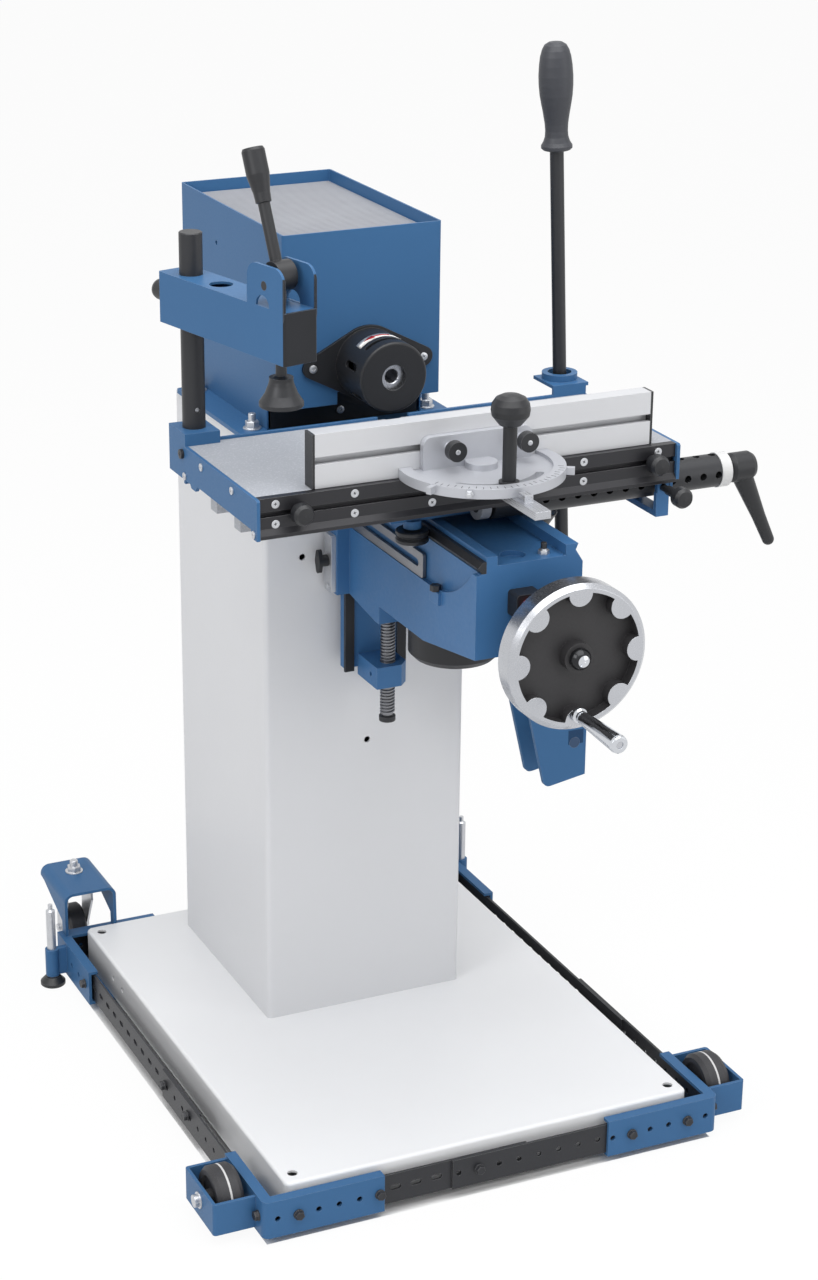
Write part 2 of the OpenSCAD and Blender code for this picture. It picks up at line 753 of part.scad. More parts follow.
// Sheet frame round the table: end plates, back strip, post socket and lever clip
module table_frame() {
  t = plate_t;
  top = table_z;
  color(blue) placed() difference() {
    union() {
      yz_plate(table_x0 - t, table_x0) polygon([
        [-275, top], [-277, top - 2], [-277, table_z - 45], [-264, table_z - 45], [-260, table_z - 36],
        [-104, table_z - 36], [-98, table_z - 43], [-86, table_z - 43], [-82, table_z - 39], [-18, table_z - 39],
        [-18, top], [-56, top]
      ]);
      yz_plate(table_x1, table_x1 + t) {
        polygon([
          [-275, top], [-277, top - 2], [-277, table_z - 41], [table_y1 + t, table_z - 41], [table_y1 + t, top]
        ]);
        translate([rod_y, rod_z]) circle(24);
        translate([rod_y - 24, rod_z]) square([48, 12]);
      }
      box(table_x0 - 1, table_x1 + 1, table_y1, table_y1 + t, table_z - 46, table_z + 3);
      box(table_x0 - t, table_x0 + 38, table_y1 + 1, -18, table_z - 26, table_z + 14);
      box(table_x0 - t, table_x0 + 38, -68, table_y1 + 2, table_z, table_z + 14);
      box(collar_x - 23, collar_x + 20, table_y1, table_y1 + t, table_z - 10, table_z + 14);
      box(collar_x - 23, collar_x + 23, table_y1, lever_y + 22, table_z + 10, table_z + 14);
      zcyl(21, collar_z - 1, collar_z + 8, collar_x, lever_y);
    }
    zcyl(14, table_z, collar_z + 9, collar_x, lever_y);
    zcyl(post_r + run_fit, table_z - 17, table_z + 15, post_x, post_y);
    xcyl(rod_r + run_fit, table_x1 - 1, table_x1 + t + 1, rod_y, rod_z);
    box(groove_x - 19, groove_x + 20, table_y1 - 1, table_y1 + t + 1, groove_z, table_z + 4);
    xcyl(4, table_x0 - t - 1, table_x0 + 8, -60, table_z - 10);
  }
}

// Front rail of the table, with the slot for the stops
module front_rail() {
  y = table_y0;
  color(black) placed() difference() {
    yz_plate(table_x0, table_x1) polygon([
      [y, table_z], [y - 9, table_z], [y - 9, table_z - 15], [y - 3, table_z - 15], [y - 3, table_z - 21],
      [y - 9, table_z - 21], [y - 9, table_z - 34], [y - 13, table_z - 40], [y - 13, table_z - 44],
      [y, table_z - 44]
    ]);
    box(groove_x - groove_w / 2, groove_x + groove_w / 2, y - 10, y + 1, groove_z, table_z + 1);
  }
}

// Travel stops in the rail's slot
module rail_stop(x) {
  color(black) placed() turned_y(x, stop_z) polygon([
    [0, 267.5], [2.6, 267.5], [2.6, 273.4], [8, 273.4], [8, 279], [11.5, 281], [11.5, 291], [9, 295], [0, 296]
  ]);
}
module rail_stop_left() {
  rail_stop(stop_x[0]);
}
module rail_stop_right() {
  rail_stop(stop_x[1]);
}

// Clamp post, turning in its socket
module clamp_post() {
  color(black) placed() difference() {
    translate([post_x, post_y, 0]) rotate_extrude() polygon([
      [0, table_z - 16.9], [post_r, table_z - 16.9], [post_r, table_z + 13 + post_h],
      [post_r - 1, table_z + 14 + post_h], [0, table_z + 14 + post_h]
    ]);
    ycyl(3, post_y - 14, post_y + 14, post_x, table_z + 36);
  }
}

// The clamp arm's own axes: x along the arm from the post
module on_arm() {
  translate([post_x, post_y, 0]) rotate([0, 0, arm_turn]) children();
}

// Clamp arm: folded box with two ears for the cam
module clamp_arm() {
  w = arm_half;
  color(blue) placed() on_arm() difference() {
    union() {
      xy_plate(arm_z0, arm_z1) rrect(arm_s0, arm_s1, -w, w, 3);
      for (s = [-1, 1]) translate([0, s * (w - 1.5) - 1.5, 0]) xz_plate(0, 3) {
        rrect(arm_reach - 31, arm_s1 - 1, arm_z1 - 20, arm_z1 + 45, 16);
      }
    }
    box(arm_s0 + 3, arm_s1 - 3, 3 - w, w - 3, arm_z0 + 3, arm_z1 - 3);
    zcyl(post_r + run_fit, arm_z0 - 1, arm_z1 + 1, 0, 0);
    zcyl(post_r, arm_z1 - 4, arm_z1 + 1, 58, 0);
    zcyl(6 + run_fit, arm_z0 - 1, arm_z1 + 1, arm_reach, 0);
    ycyl(5 + run_fit, -w - 1, w + 1, arm_reach, cam_z);
    xz_plate(-w - 1, w + 1) intersection() {
      translate([arm_reach - 3, arm_z1 + 0.5]) circle(12);
      translate([arm_reach - 16, arm_z1 + 0.5]) square([26, 14]);
    }
    xcyl(5 + run_fit, arm_s0 - 1, arm_s0 + 4, 0, arm_z0 + 28);
  }
}

// Knob screw that locks the arm on the post
module arm_knob() {
  color(black) placed() on_arm() turned_x(0, arm_z0 + 28) polygon([
    [0, arm_s0 - 34], [8, arm_s0 - 33], [11, arm_s0 - 30], [12, arm_s0 - 26], [12, arm_s0 - 13],
    [9, arm_s0 - 9], [9, arm_s0 - 0.4],
    [5, arm_s0 - 0.4], [5, arm_s0 + 19], [0, arm_s0 + 19]
  ]);
}

// Eccentric cam with its pin and hand lever
module cam_lever() {
  color(black) placed() on_arm() translate([arm_reach, 0, cam_z]) {
    ycyl(5, -arm_half, arm_half, 0, 0);
    ycyl(cam_r, -11, 11, 0, cam_e);
    rotate([0, -20, 0]) rotate_extrude() polygon([
      [0, 14], [6.5, 14], [6.5, 84], [8.5, 85], [9, 95], [12.4, 114], [12.4, 139], [11, 142], [0, 142]
    ]);
  }
}

// Clamp spindle with its bell foot
module clamp_foot() {
  z = spindle_foot_z;
  color(black) placed() on_arm() translate([arm_reach, 0, 0]) rotate_extrude() polygon([
    [0, z], [foot_r - 1, z], [foot_r, z + 1], [foot_r, z + 5], [foot_r - 6, z + 14], [14, z + 24], [13, z + 28],
    [13, z + 32], [9, z + 32], [6, z + 34], [6, cam_z - cam_r + cam_e - slide_gap],
    [0, cam_z - cam_r + cam_e - slide_gap]
  ]);
}

// Index rod with four rows of holes and its end ring
module index_rod() {
  color(black) placed() difference() {
    union() {
      turned_x(rod_y, rod_z) polygon([
        [0, 14], [rod_neck_r, 14], [rod_neck_r, 30], [rod_r - 1, 30], [rod_r, 31], [rod_r, rod_end],
        [rod_r + 1, rod_end], [rod_r + 1, rod_end + 13], [rod_neck_r, rod_end + 13],
        [rod_neck_r, rod_end + 46], [0, rod_end + 46]
      ]);
    }
    for (x = [plunger_x - 8 * index_pitch : index_pitch : rod_end - 5])
      if (x > 40) {
        ycyl(plunger_r + slide_gap, rod_y - rod_r - 1, rod_y + rod_r + 1, x, rod_z);
        zcyl(plunger_r + slide_gap, rod_z - rod_r - 1, rod_z + rod_r + 1, x, rod_y);
      }
  }
}

// Clamping lever on the end of the index rod
module rod_lever() {
  x = rod_end + 32;
  color(black) placed() difference() {
    union() {
      turned_x(rod_y, rod_z) polygon([
        [0, x - 14], [14, x - 14], [17, x - 10], [17, x + 12], [14, x + 17], [0, x + 17]
      ]);
      translate([x, rod_y, rod_z]) rotate([0, 154, 0]) {
        cylinder(r1 = 13, r2 = 8, h = 70);
        translate([0, 0, 69.9]) cylinder(r1 = 8, r2 = 7, h = 35);
        translate([0, 0, 104]) sphere(7);
      }
    }
    xcyl(rod_neck_r + run_fit, x - 15, x + 14.5, rod_y, rod_z);
  }
}

// Sliding bar of the mitre gauge with the pointer at its front
module mitre_bar() {
  w = groove_w / 2 - slide_gap;
  z0 = groove_z + slide_gap;
  z1 = table_z + 0.2;
  color(silver) placed() difference() {
    union() {
      box(groove_x - w, groove_x + w, -428, -190, z0, z1);
      box(groove_x - 5, groove_x + 5, -396, mitre_y - mitre_r - 6, z0 + 1, mitre_z0 + 8);
    }
    zcyl(5 + run_fit, z0 + 1, z1 + 1, groove_x, mitre_y);
    zcyl(4 + run_fit, z0 + 1, z1 + 1, groove_x, mitre_y - mitre_slot_r);
  }
}

// Protractor head with its fence web and thumb screws
module mitre_head() {
  z0 = mitre_z0;
  r = mitre_r;
  color(silver) placed() translate([groove_x, mitre_y, 0]) difference() {
    union() {
      difference() {
        union() {
          zcyl(r, z0, z0 + 7, 0, 0);
          difference() {
            zcyl(r, z0 + 6, z0 + 11, 0, 0);
            zcyl(r - 14, z0 + 5, z0 + 12, 0, 0);
          }
        }
        box(-r - 1, r + 1, 18.5, r + 1, z0 - 1, z0 + 12);
        rotate(-137) rotate_extrude(angle = 94) translate([mitre_slot_r - 4.6, z0 - 1]) square([9.2, 10]);
        for (a = [-137, -43]) rotate(a) zcyl(4.6, z0 - 1, z0 + 9, mitre_slot_r, 0);
      }
      zcyl(5, z0 - 7, z0 + 1, 0, 0);
      zcyl(17.5, z0 + 6, z0 + 14, 0, 0);
      xz_plate(10.5, 18.7) rrect(-64, 66, z0 + 1, fence_slot_z + 13, 10);
      for (x = [-34, 52]) {
        ycyl(3.5, 10, 25.5, x, fence_slot_z);
        ycyl(5.7, 24.3, 26.5, x, fence_slot_z);
        ycyl(5, -2, 11, x, fence_slot_z);
        ycyl(11, -12, -2, x, fence_slot_z);
      }
      for (a = [-150, -30]) rotate(a) box(r - 2, r + 9, -3, 3, z0 + 2, z0 + 10);
    }
    box(-14, 14, -15, 10.4, z0 + 20, z0 + 60);
  }
}

// Locking knob of the mitre head
module mitre_knob() {
  z0 = mitre_z0 + 7.4;
  z1 = mitre_z0 + 72;
  color(black) placed() translate([groove_x, mitre_y - mitre_slot_r, 0]) rotate_extrude() polygon([
    [0, groove_z + 1.5], [4, groove_z + 1.5], [4, z0], [11, z0], [11, z0 + 3], [7.5, z0 + 3], [7.5, z1 - 2],
    [12, z1], [20, z1 + 10], [21, z1 + 16], [20, z1 + 23], [16, z1 + 29], [10, z1 + 32], [0, z1 + 33]
  ]);
}

// Extruded fence with a T slot and end caps
module fence() {
  x1 = fence_x0 + fence_l;
  y = fence_y0;
  zs = fence_slot_z;
  z1 = fence_z0 + fence_h;
  color(silver) placed() difference() {
    box(fence_x0, x1, y, fence_y1, fence_z0, z1);
    box(fence_x0 + 3, x1 - 3, y - 1, y + 6, zs - 4, zs + 4);
    box(fence_x0 + 3, x1 - 3, y + 5, y + 10, zs - 7, zs + 7);
    box(fence_x0 + 3, x1 - 3, y + 3, fence_y1 - 3, fence_z0 + 3, zs - 11);
    if (z1 - zs > 20) box(fence_x0 + 3, x1 - 3, y + 3, fence_y1 - 3, zs + 11, z1 - 3);
  }
}

// C-section legs of a frame corner; x grows from the middle of the machine
module corner_legs(x_end, ya, yb) {
  t = frame_t;
  z0 = frame_z[0];
  z1 = frame_z[1];
  front = ya < 0;
  y0 = front ? ya : ya - t;
  box(x_end, frame_x, y0, y0 + t, z0, z1);
  box(frame_x - t, frame_x, min(ya, yb), max(ya, yb), z0, z1);
  box(x_end, frame_x, front ? ya : ya - 40, front ? ya + 40 : ya, z0, z0 + t);
  box(frame_x - 46, frame_x, min(ya, yb), max(ya, yb), z0, z0 + t);
  box(x_end, frame_x, front ? ya : ya - 19, front ? ya + 13 : ya, z1 - t, z1);
  box(frame_x - 13, frame_x, min(ya, yb), max(ya, yb), z1 - t, z1);
}

// What rounding takes off a frame corner's upright edge
module corner_round(y, way, r) {
  difference() {
    box(frame_x - r, frame_x + 1, min(y + way * r, y - way), max(y + way * r, y - way), 0, 80);
    zcyl(r, -1, 81, frame_x - r, y + way * r);
  }
}

// Front corner with its wheel box, its axle and the axle's head
module front_corner() {
  t = frame_t;
  x1 = frame_x + box_w;
  y0 = wheel_y - 45;
  y1 = wheel_y + 45;
  difference() {
    union() {
      difference() {
        corner_legs(frame_x - 149, frame_y0, y1 + 4);
        corner_round(frame_y0, 1, 9);
      }
      difference() {
        xy_plate(14, 54) rrect(frame_x - t, x1, y0, y1, 4);
        box(frame_x - t - 1, x1 - t, y0 + t, y1 - t, 13, 59);
      }
      xcyl(axle_r, frame_x - t, x1 + 1, wheel_y, wheel_r);
      xcyl(7.5, x1, x1 + 7, wheel_y, wheel_r);
    }
    for (i = [0 : 5]) ycyl(3.5, frame_y0 - 1, frame_y0 + t + 1, frame_x - 17 - i * 25.2, 34);
  }
}
module corner_front_right() {
  color(blue) placed() front_corner();
}
module corner_front_left() {
  color(blue) placed() mirror([1, 0, 0]) front_corner();
}

// Rear corner with the caster arch and the levelling tube
module rear_corner(foot) {
  t = frame_t;
  a0 = caster_x - 36;
  a1 = caster_x + 36;
  y0 = frame_y1 - 19;
  y1 = caster_y + 36;
  z1 = frame_z[1];
  difference() {
    union() {
      corner_legs(frame_x - 136, frame_y1, frame_y1 - 128);
      difference() {
        xz_plate(y0, y1) difference() {
          rrect(a0, a1, z1 - 40, arch_z, 12);
          rrect(a0 + t, a1 - t, z1 - 60, arch_z - t, 8);
        }
        box(a0 - 1, a1 + 1, y0 - 1, y1 + 1, z1 - 61, z1 - 1);
        yz_plate(a0 - 1, a1 + 1) polygon([
          [y0 + 13, z1 - 2], [y0 + 14, z1 + 18], [y1 - 14, arch_z - 16], [y1 + 1, arch_z - 14], [y1 + 1, z1 - 2]
        ]);
      }
      zcyl(9, 14, 52, foot[0], foot[1]);
      box(frame_x - 1, foot[0], foot[1] - 4, min(foot[1] + 4, frame_y1), 14, 52);
    }
    zcyl(level_r + run_fit, 13, 53, foot[0], foot[1]);
    zcyl(level_r + run_fit, arch_z - t - 1, arch_z + 1, caster_x, caster_y);
    for (y = [frame_y1 - 58 : -28 : frame_y1 - 118]) xcyl(3.5, frame_x - t - 1, frame_x + 1, y, 34);
  }
}
module corner_rear_right() {
  color(blue) placed() rear_corner(foot_right);
}
module corner_rear_left() {
  color(blue) placed() mirror([1, 0, 0]) rear_corner(foot_left);
}

// An angle rail with a row of holes, or of slots; drawn along X, its face at y = 0
module angle_rail(x0, x1, flange, first, slot) {
  difference() {
    union() {
      box(x0, x1, 0, rail_t, tray_z0, 52);
      box(x0, x1, 0, flange, tray_z0, tray_z0 + rail_t);
    }
    for (x = [x0 + first : rail_pitch : x1 - 10]) {
      ycyl(3.3, -1, rail_t + 1, x - slot, 34);
      if (slot > 0) {
        ycyl(3.3, -1, rail_t + 1, x + slot, 34);
        box(x - slot, x + slot, -1, rail_t + 1, 30.7, 37.3);
      }
    }
  }
}

// Two overlapping rails along the front and along the back
module rails_across() {
  x = frame_x - frame_t - 12;
  color(black) placed() {
    translate([0, frame_y0 + frame_t, 0]) angle_rail(-57, x, 9, 8, 0);
    translate([0, frame_y0 + frame_t + rail_t, 0]) angle_rail(-x, 40, 7, 20, 3.5);
    translate([0, frame_y1 - frame_t, 0]) mirror([0, 1, 0]) angle_rail(-x, x, 7, 14, 0);
  }
}

// Two overlapping rails along each side, the front one outside
module rails_along() {
  y0 = frame_y0 + frame_t + 16;
  y1 = frame_y1 - frame_t - 20;
  color(black) placed() {
    for (s = [0, 1]) mirror([s, 0, 0]) {
      translate([frame_x - frame_t, 0, 0]) rotate(90) angle_rail(y0, -25, 3, 14, 0);
      translate([frame_x - frame_t - rail_t, 0, 0]) rotate(90) angle_rail(-143, y1, 20, 14, 3.5);
    }
  }
}

// Fixed front wheels
module front_wheel() {
  xm = frame_x + (box_w - frame_t) / 2;
  w = wheel_w / 2;
  r = wheel_r;
  translate([xm, 0, 0]) turned_x(wheel_y, r) polygon([
    [axle_r + run_fit, -w - 3], [10, -w - 3], [10, -w + 4], [r - 12, -w + 4], [r - 10, -w], [r - 4, -w],
    [r, -w + 5], [r, w - 5], [r - 4, w], [r - 10, w], [r - 12, w - 4], [10, w - 4], [10, w + 3],
    [axle_r + run_fit, w + 3]
  ]);
}
module front_wheel_right() {
  color(black) placed() front_wheel();
}
module front_wheel_left() {
  color(black) placed() mirror([1, 0, 0]) front_wheel();
}

// Swivel forks
module caster_fork() {
  yw = caster_y + caster_trail;
  zw = caster_r + 0.5;
  difference() {
    union() {
      zcyl(level_r, 96, arch_z + 3, caster_x, caster_y);
      zcyl(20, arch_z - 16, arch_z - 4.5, caster_x, caster_y);
      zcyl(27, 97, arch_z - 15, caster_x, caster_y);
      for (s = [-1, 1]) translate([caster_x + s * 17.5 - 1.5, 0, 0]) yz_plate(0, 3) {
        polygon([
          [caster_y - 18, 100], [caster_y - 20, 80], [yw - 9, zw - 2], [yw + 9, zw + 2], [caster_y + 20, 72],
          [caster_y + 20, 100]
        ]);
        translate([yw, zw]) circle(9);
      }
      xcyl(axle_r, caster_x - 22, caster_x + 22, yw, zw);
    }
  }
}
module caster_fork_right() {
  color(zinc) placed() caster_fork();
}
module caster_fork_left() {
  color(zinc) placed() mirror([1, 0, 0]) caster_fork();
}

// Swivel wheels
module caster_wheel() {
  r = caster_r;
  translate([caster_x, 0, 0]) turned_x(caster_y + caster_trail, r + 0.5) polygon([
    [axle_r + run_fit, -14], [9, -14], [9, -10], [r - 10, -10], [r - 9, -12], [r - 3, -12], [r, -9], [r, 9],
    [r - 3, 12], [r - 9, 12], [r - 10, 10], [9, 10], [9, 14], [axle_r + run_fit, 14]
  ]);
}
module caster_wheel_right() {
  color(black) placed() caster_wheel();
}
module caster_wheel_left() {
  color(black) placed() mirror([1, 0, 0]) caster_wheel();
}

// Levelling screws with their feet
module level_foot(foot) {
  translate([foot[0], foot[1], 0]) rotate_extrude() polygon([
    [0, 0], [15.5, 0], [16.5, 1], [16.5, 5], [10, 12], [level_r, 13], [level_r, 108], [3, 110],
    [3, 117], [0, 117]
  ]);
}
module level_foot_right() {
  color(zinc) placed() level_foot(foot_right);
}
module level_foot_left() {
  color(zinc) placed() mirror([1, 0, 0]) level_foot(foot_left);
}

base_tray();
column();
motor_plate();
motor();
motor_cover();
chuck_guard();
column_way();
corner_front_left();
corner_front_right();
corner_rear_left();
corner_rear_right();
rails_across();
rails_along();
spindle_chuck();
knee();
bed_rail();
depth_stop();
gear_pot();
gib_plate();
lever_fork();
switch_box();
leadscrew();
handwheel();
wheel_shaft();
crank_handle();
knee_lock();
switch_button();
carriage();
roller_front_left();
roller_front_right();
roller_rear_left();
roller_rear_right();
index_plunger();
table_top();
table_bed();
table_frame();
front_rail();
rail_stop_left();
rail_stop_right();
clamp_post();
clamp_arm();
arm_knob();
cam_lever();
clamp_foot();
index_rod();
rod_lever();
mitre_bar();
mitre_head();
mitre_knob();
fence();
lever_block();
feed_lever();
front_wheel_left();
front_wheel_right();
caster_fork_left();
caster_fork_right();
caster_wheel_left();
caster_wheel_right();
level_foot_left();
level_foot_right();
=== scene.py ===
"""Looks of a horizontal slot mortiser: finishes, fasteners, threads, studio and camera."""

import logging
import math
from dataclasses import dataclass
from enum import Enum
from typing import Any, Callable

import bmesh
import bpy
from bpy.types import Material, Node, NodeSocket, NodeTree, Object
from mathutils import Matrix, Vector

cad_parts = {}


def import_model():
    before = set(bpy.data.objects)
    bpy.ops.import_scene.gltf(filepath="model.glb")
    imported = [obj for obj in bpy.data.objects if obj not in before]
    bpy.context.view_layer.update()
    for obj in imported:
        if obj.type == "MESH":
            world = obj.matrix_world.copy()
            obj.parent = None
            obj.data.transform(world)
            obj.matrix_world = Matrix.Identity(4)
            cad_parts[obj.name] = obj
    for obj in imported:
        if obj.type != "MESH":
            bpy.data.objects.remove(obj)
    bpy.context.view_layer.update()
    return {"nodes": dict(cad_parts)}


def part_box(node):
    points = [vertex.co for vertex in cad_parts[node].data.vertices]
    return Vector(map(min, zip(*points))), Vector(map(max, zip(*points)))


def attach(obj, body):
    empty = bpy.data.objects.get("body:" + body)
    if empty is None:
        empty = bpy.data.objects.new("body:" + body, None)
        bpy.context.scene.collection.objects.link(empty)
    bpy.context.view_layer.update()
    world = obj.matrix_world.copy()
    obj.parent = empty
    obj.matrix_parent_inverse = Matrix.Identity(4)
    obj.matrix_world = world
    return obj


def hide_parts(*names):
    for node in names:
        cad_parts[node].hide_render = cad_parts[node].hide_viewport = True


MM = 0.001
UP = Vector((0, 0, 1))
FRONT = Vector((0, -1, 0))
LEFT = Vector((-1, 0, 0))
RIGHT = Vector((1, 0, 0))
LOG = logging.getLogger("slot_mortiser")
FAR = 2000.0
FLAT = 0.9
LEVEL = 0.98
GRAIN_LOW, GRAIN_HIGH = 0.25, 0.75
SPECK_LOW, SPECK_HIGH, SPECK_SHARE = 0.52, 0.68, 0.75
# Painted highlight along edges: where the bevelled normal turns from the true one, the colour is lifted
# towards a paler tone
EDGE_HIGHLIGHT_START, EDGE_HIGHLIGHT_FULL, EDGE_HIGHLIGHT_LIFT = 0.985, 0.80, 0.25
RELIEF_SHARE = 0.6
LEAST_ROUGH = 0.03
NEARLY_HALF = 0.49


def linear(code: str) -> tuple[float, float, float, float]:
    """Turn an sRGB hex code into a linear colour.

    Args:
        code: six hex digits with a leading hash.

    Returns:
        Red, green, blue and an alpha of one.
    """
    parts = [int(code[i : i + 2], 16) / 255 for i in (1, 3, 5)]
    red, green, blue = (p / 12.92 if p <= 0.04045 else ((p + 0.055) / 1.055) ** 2.4 for p in parts)
    return red, green, blue, 1.0


def add_node(tree: NodeTree, kind: str, inputs: dict[Any, Any], **settings: Any) -> Node:
    """Add one shader node with its settings, values and links.

    Args:
        tree: the tree that takes the node.
        kind: Blender's name of the node type.
        inputs: a value or a socket for each input, by name or index.
        settings: properties of the node.

    Returns:
        The new node.
    """
    node = tree.nodes.new(kind)
    for name, value in settings.items():
        setattr(node, name, value)
    for key, value in inputs.items():
        if isinstance(value, NodeSocket):
            tree.links.new(value, node.inputs[key])
        else:
            node.inputs[key].default_value = value
    return node


class Datum:
    """The machine's own axes, in millimetres: X from the tray's middle, Z from the floor.

    The column's front stands at COLUMN_FACE on Y.
    """

    COLUMN_FACE = 16.0

    def __init__(self) -> None:
        """Read the axes from the frame."""
        low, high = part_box("base_tray")
        self.x = (low.x + high.x) / 2
        self.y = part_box("column")[0].y - self.COLUMN_FACE * MM

    def point(self, x: float, y: float, z: float) -> Vector:
        """Give a place of the machine in the frame, in metres."""
        return Vector((self.x + x * MM, self.y + y * MM, z * MM))


class Axis(Enum):
    """One of the machine's directions."""

    X = 0
    Y = 1
    Z = 2


class Lay(Enum):
    """How the marks of the last process run over a surface."""

    EVEN = (1.0, 1.0, 1.0)
    ALONG_X = (0.02, 1.0, 1.0)
    ALONG_Y = (1.0, 0.02, 1.0)
    ALONG_Z = (1.0, 1.0, 0.02)


@dataclass(frozen=True)
class Channels:
    """What one finish gives to the shader, as sockets."""

    colour: NodeSocket
    rough: NodeSocket
    metal: float
    height: NodeSocket


@dataclass(frozen=True)
class Finish:
    """A surface made by one process: its colour, gloss, grain and a painted highlight along its edges."""

    name: str
    colour: str
    rough: float
    metal: float = 0.0
    grain_mm: float = 2.0
    relief_mm: float = 0.02
    cloud_mm: float = 90.0
    cloud: float = 0.05
    swing: float = 0.06
    lay: Lay = Lay.EVEN
    speck: str = ""
    edge_mm: float = 0.7
    # share of a paler colour painted along edges as a painted highlight
    painted_edge_highlight: float = 0.0
    shine: float = 0.5

    def channels(self, tree: NodeTree, place: NodeSocket) -> Channels:
        """Lay the finish out as nodes.

        Args:
            tree: the tree that takes the nodes.
            place: Object coordinates in metres.

        Returns:
            The sockets of the finish.
        """
        along = add_node(tree, "ShaderNodeMapping", {"Vector": place, "Scale": self.lay.value})
        grain = add_node(
            tree,
            "ShaderNodeTexNoise",
            {"Vector": along.outputs[0], "Scale": 1 / (self.grain_mm * MM), "Detail": 3.0, "Roughness": 0.55},
        )
        cloud = add_node(
            tree,
            "ShaderNodeTexNoise",
            {"Vector": place, "Scale": 1 / (self.cloud_mm * MM), "Detail": 4.0, "Roughness": 0.6},
        )
        base = linear(self.colour)
        dark = tuple(c * (1 - 2 * self.cloud) for c in base[:3]) + (1.0,)
        light = tuple(min(1.0, c * (1 + 2 * self.cloud)) for c in base[:3]) + (1.0,)
        tint = add_node(tree, "ShaderNodeMix", {0: cloud.outputs[0], 6: dark, 7: light}, data_type="RGBA")
        colour = tint.outputs[2]
        if self.speck:
            spots = add_node(
                tree,
                "ShaderNodeMapRange",
                {0: grain.outputs[0], 1: SPECK_LOW, 2: SPECK_HIGH, 3: 0.0, 4: SPECK_SHARE},
            )
            mixed = add_node(
                tree,
                "ShaderNodeMix",
                {0: spots.outputs[0], 6: colour, 7: linear(self.speck)},
                data_type="RGBA",
            )
            colour = mixed.outputs[2]
        rough = add_node(
            tree,
            "ShaderNodeMapRange",
            {
                0: grain.outputs[0],
                1: GRAIN_LOW,
                2: GRAIN_HIGH,
                3: max(LEAST_ROUGH, self.rough - self.swing),
                4: self.rough + self.swing,
            },
        )
        return Channels(colour, rough.outputs[0], self.metal, grain.outputs[0])

    def parts(self) -> "list[tuple[Zone, Finish]]":
        """Give the zones of the finish: none."""
        return []

    def ground(self) -> "Finish":
        """Give the finish that covers the piece."""
        return self


@dataclass(frozen=True)
class Block:
    """A zone between two corners of the machine, in millimetres."""

    low: tuple[float, float, float]
    high: tuple[float, float, float]

    def mask(self, tree: NodeTree, place: NodeSocket, datum: Datum) -> NodeSocket:
        """Give one inside the corners and zero outside.

        Args:
            tree: the tree that takes the nodes.
            place: Object coordinates in metres.
            datum: the machine's axes.

        Returns:
            The mask's socket.
        """
        middle = (datum.point(*self.low) + datum.point(*self.high)) / 2
        half = (datum.point(*self.high) - datum.point(*self.low)) / 2
        off = add_node(tree, "ShaderNodeVectorMath", {0: place, 1: middle}, operation="SUBTRACT")
        size = add_node(tree, "ShaderNodeVectorMath", {0: off.outputs[0]}, operation="ABSOLUTE")
        share = add_node(tree, "ShaderNodeVectorMath", {0: size.outputs[0], 1: half}, operation="DIVIDE")
        axes = add_node(tree, "ShaderNodeSeparateXYZ", {0: share.outputs[0]})
        wide = add_node(tree, "ShaderNodeMath", {0: axes.outputs[0], 1: axes.outputs[1]}, operation="MAXIMUM")
        most = add_node(tree, "ShaderNodeMath", {0: wide.outputs[0], 1: axes.outputs[2]}, operation="MAXIMUM")
        inside = add_node(tree, "ShaderNodeMath", {0: most.outputs[0], 1: 1.0}, operation="LESS_THAN")
        return inside.outputs[0]


def band(axis: Axis, low: float, high: float) -> Block:
    """Give the zone between two planes across an axis.

    Args:
        axis: the direction that crosses both planes.
        low: the first plane, in millimetres.
        high: the second plane.

    Returns:
        A block that is as wide as the machine in the other two directions.
    """
    near, far = [-FAR] * 3, [FAR] * 3
    near[axis.value], far[axis.value] = low, high
    return Block(tuple(near), tuple(far))


@dataclass(frozen=True)
class Tube:
    """A zone round an axis, between two radii and two places along it, in millimetres."""

    axis: Axis
    centre: tuple[float, float, float]
    inner: float
    outer: float
    low: float
    high: float

    def mask(self, tree: NodeTree, place: NodeSocket, datum: Datum) -> NodeSocket:
        """Give one inside the tube and zero outside.

        Args:
            tree: the tree that takes the nodes.
            place: Object coordinates in metres.
            datum: the machine's axes.

        Returns:
            The mask's socket.
        """
        off = add_node(
            tree, "ShaderNodeVectorMath", {0: place, 1: datum.point(*self.centre)}, operation="SUBTRACT"
        )
        flat = [1.0, 1.0, 1.0]
        flat[self.axis.value] = 0.0
        across = add_node(tree, "ShaderNodeVectorMath", {0: off.outputs[0], 1: flat}, operation="MULTIPLY")
        radius = add_node(tree, "ShaderNodeVectorMath", {0: across.outputs[0]}, operation="LENGTH")
        axes = add_node(tree, "ShaderNodeSeparateXYZ", {0: off.outputs[0]})
        tests = (
            (radius.outputs[1], self.inner, "GREATER_THAN"),
            (radius.outputs[1], self.outer, "LESS_THAN"),
            (axes.outputs[self.axis.value], self.low, "GREATER_THAN"),
            (axes.outputs[self.axis.value], self.high, "LESS_THAN"),
        )
        found: NodeSocket | None = None
        for socket, limit, test in tests:
            step = add_node(tree, "ShaderNodeMath", {0: socket, 1: limit * MM}, operation=test).outputs[0]
            if found is not None:
                step = add_node(tree, "ShaderNodeMath", {0: found, 1: step}, operation="MULTIPLY").outputs[0]
            found = step
        return found


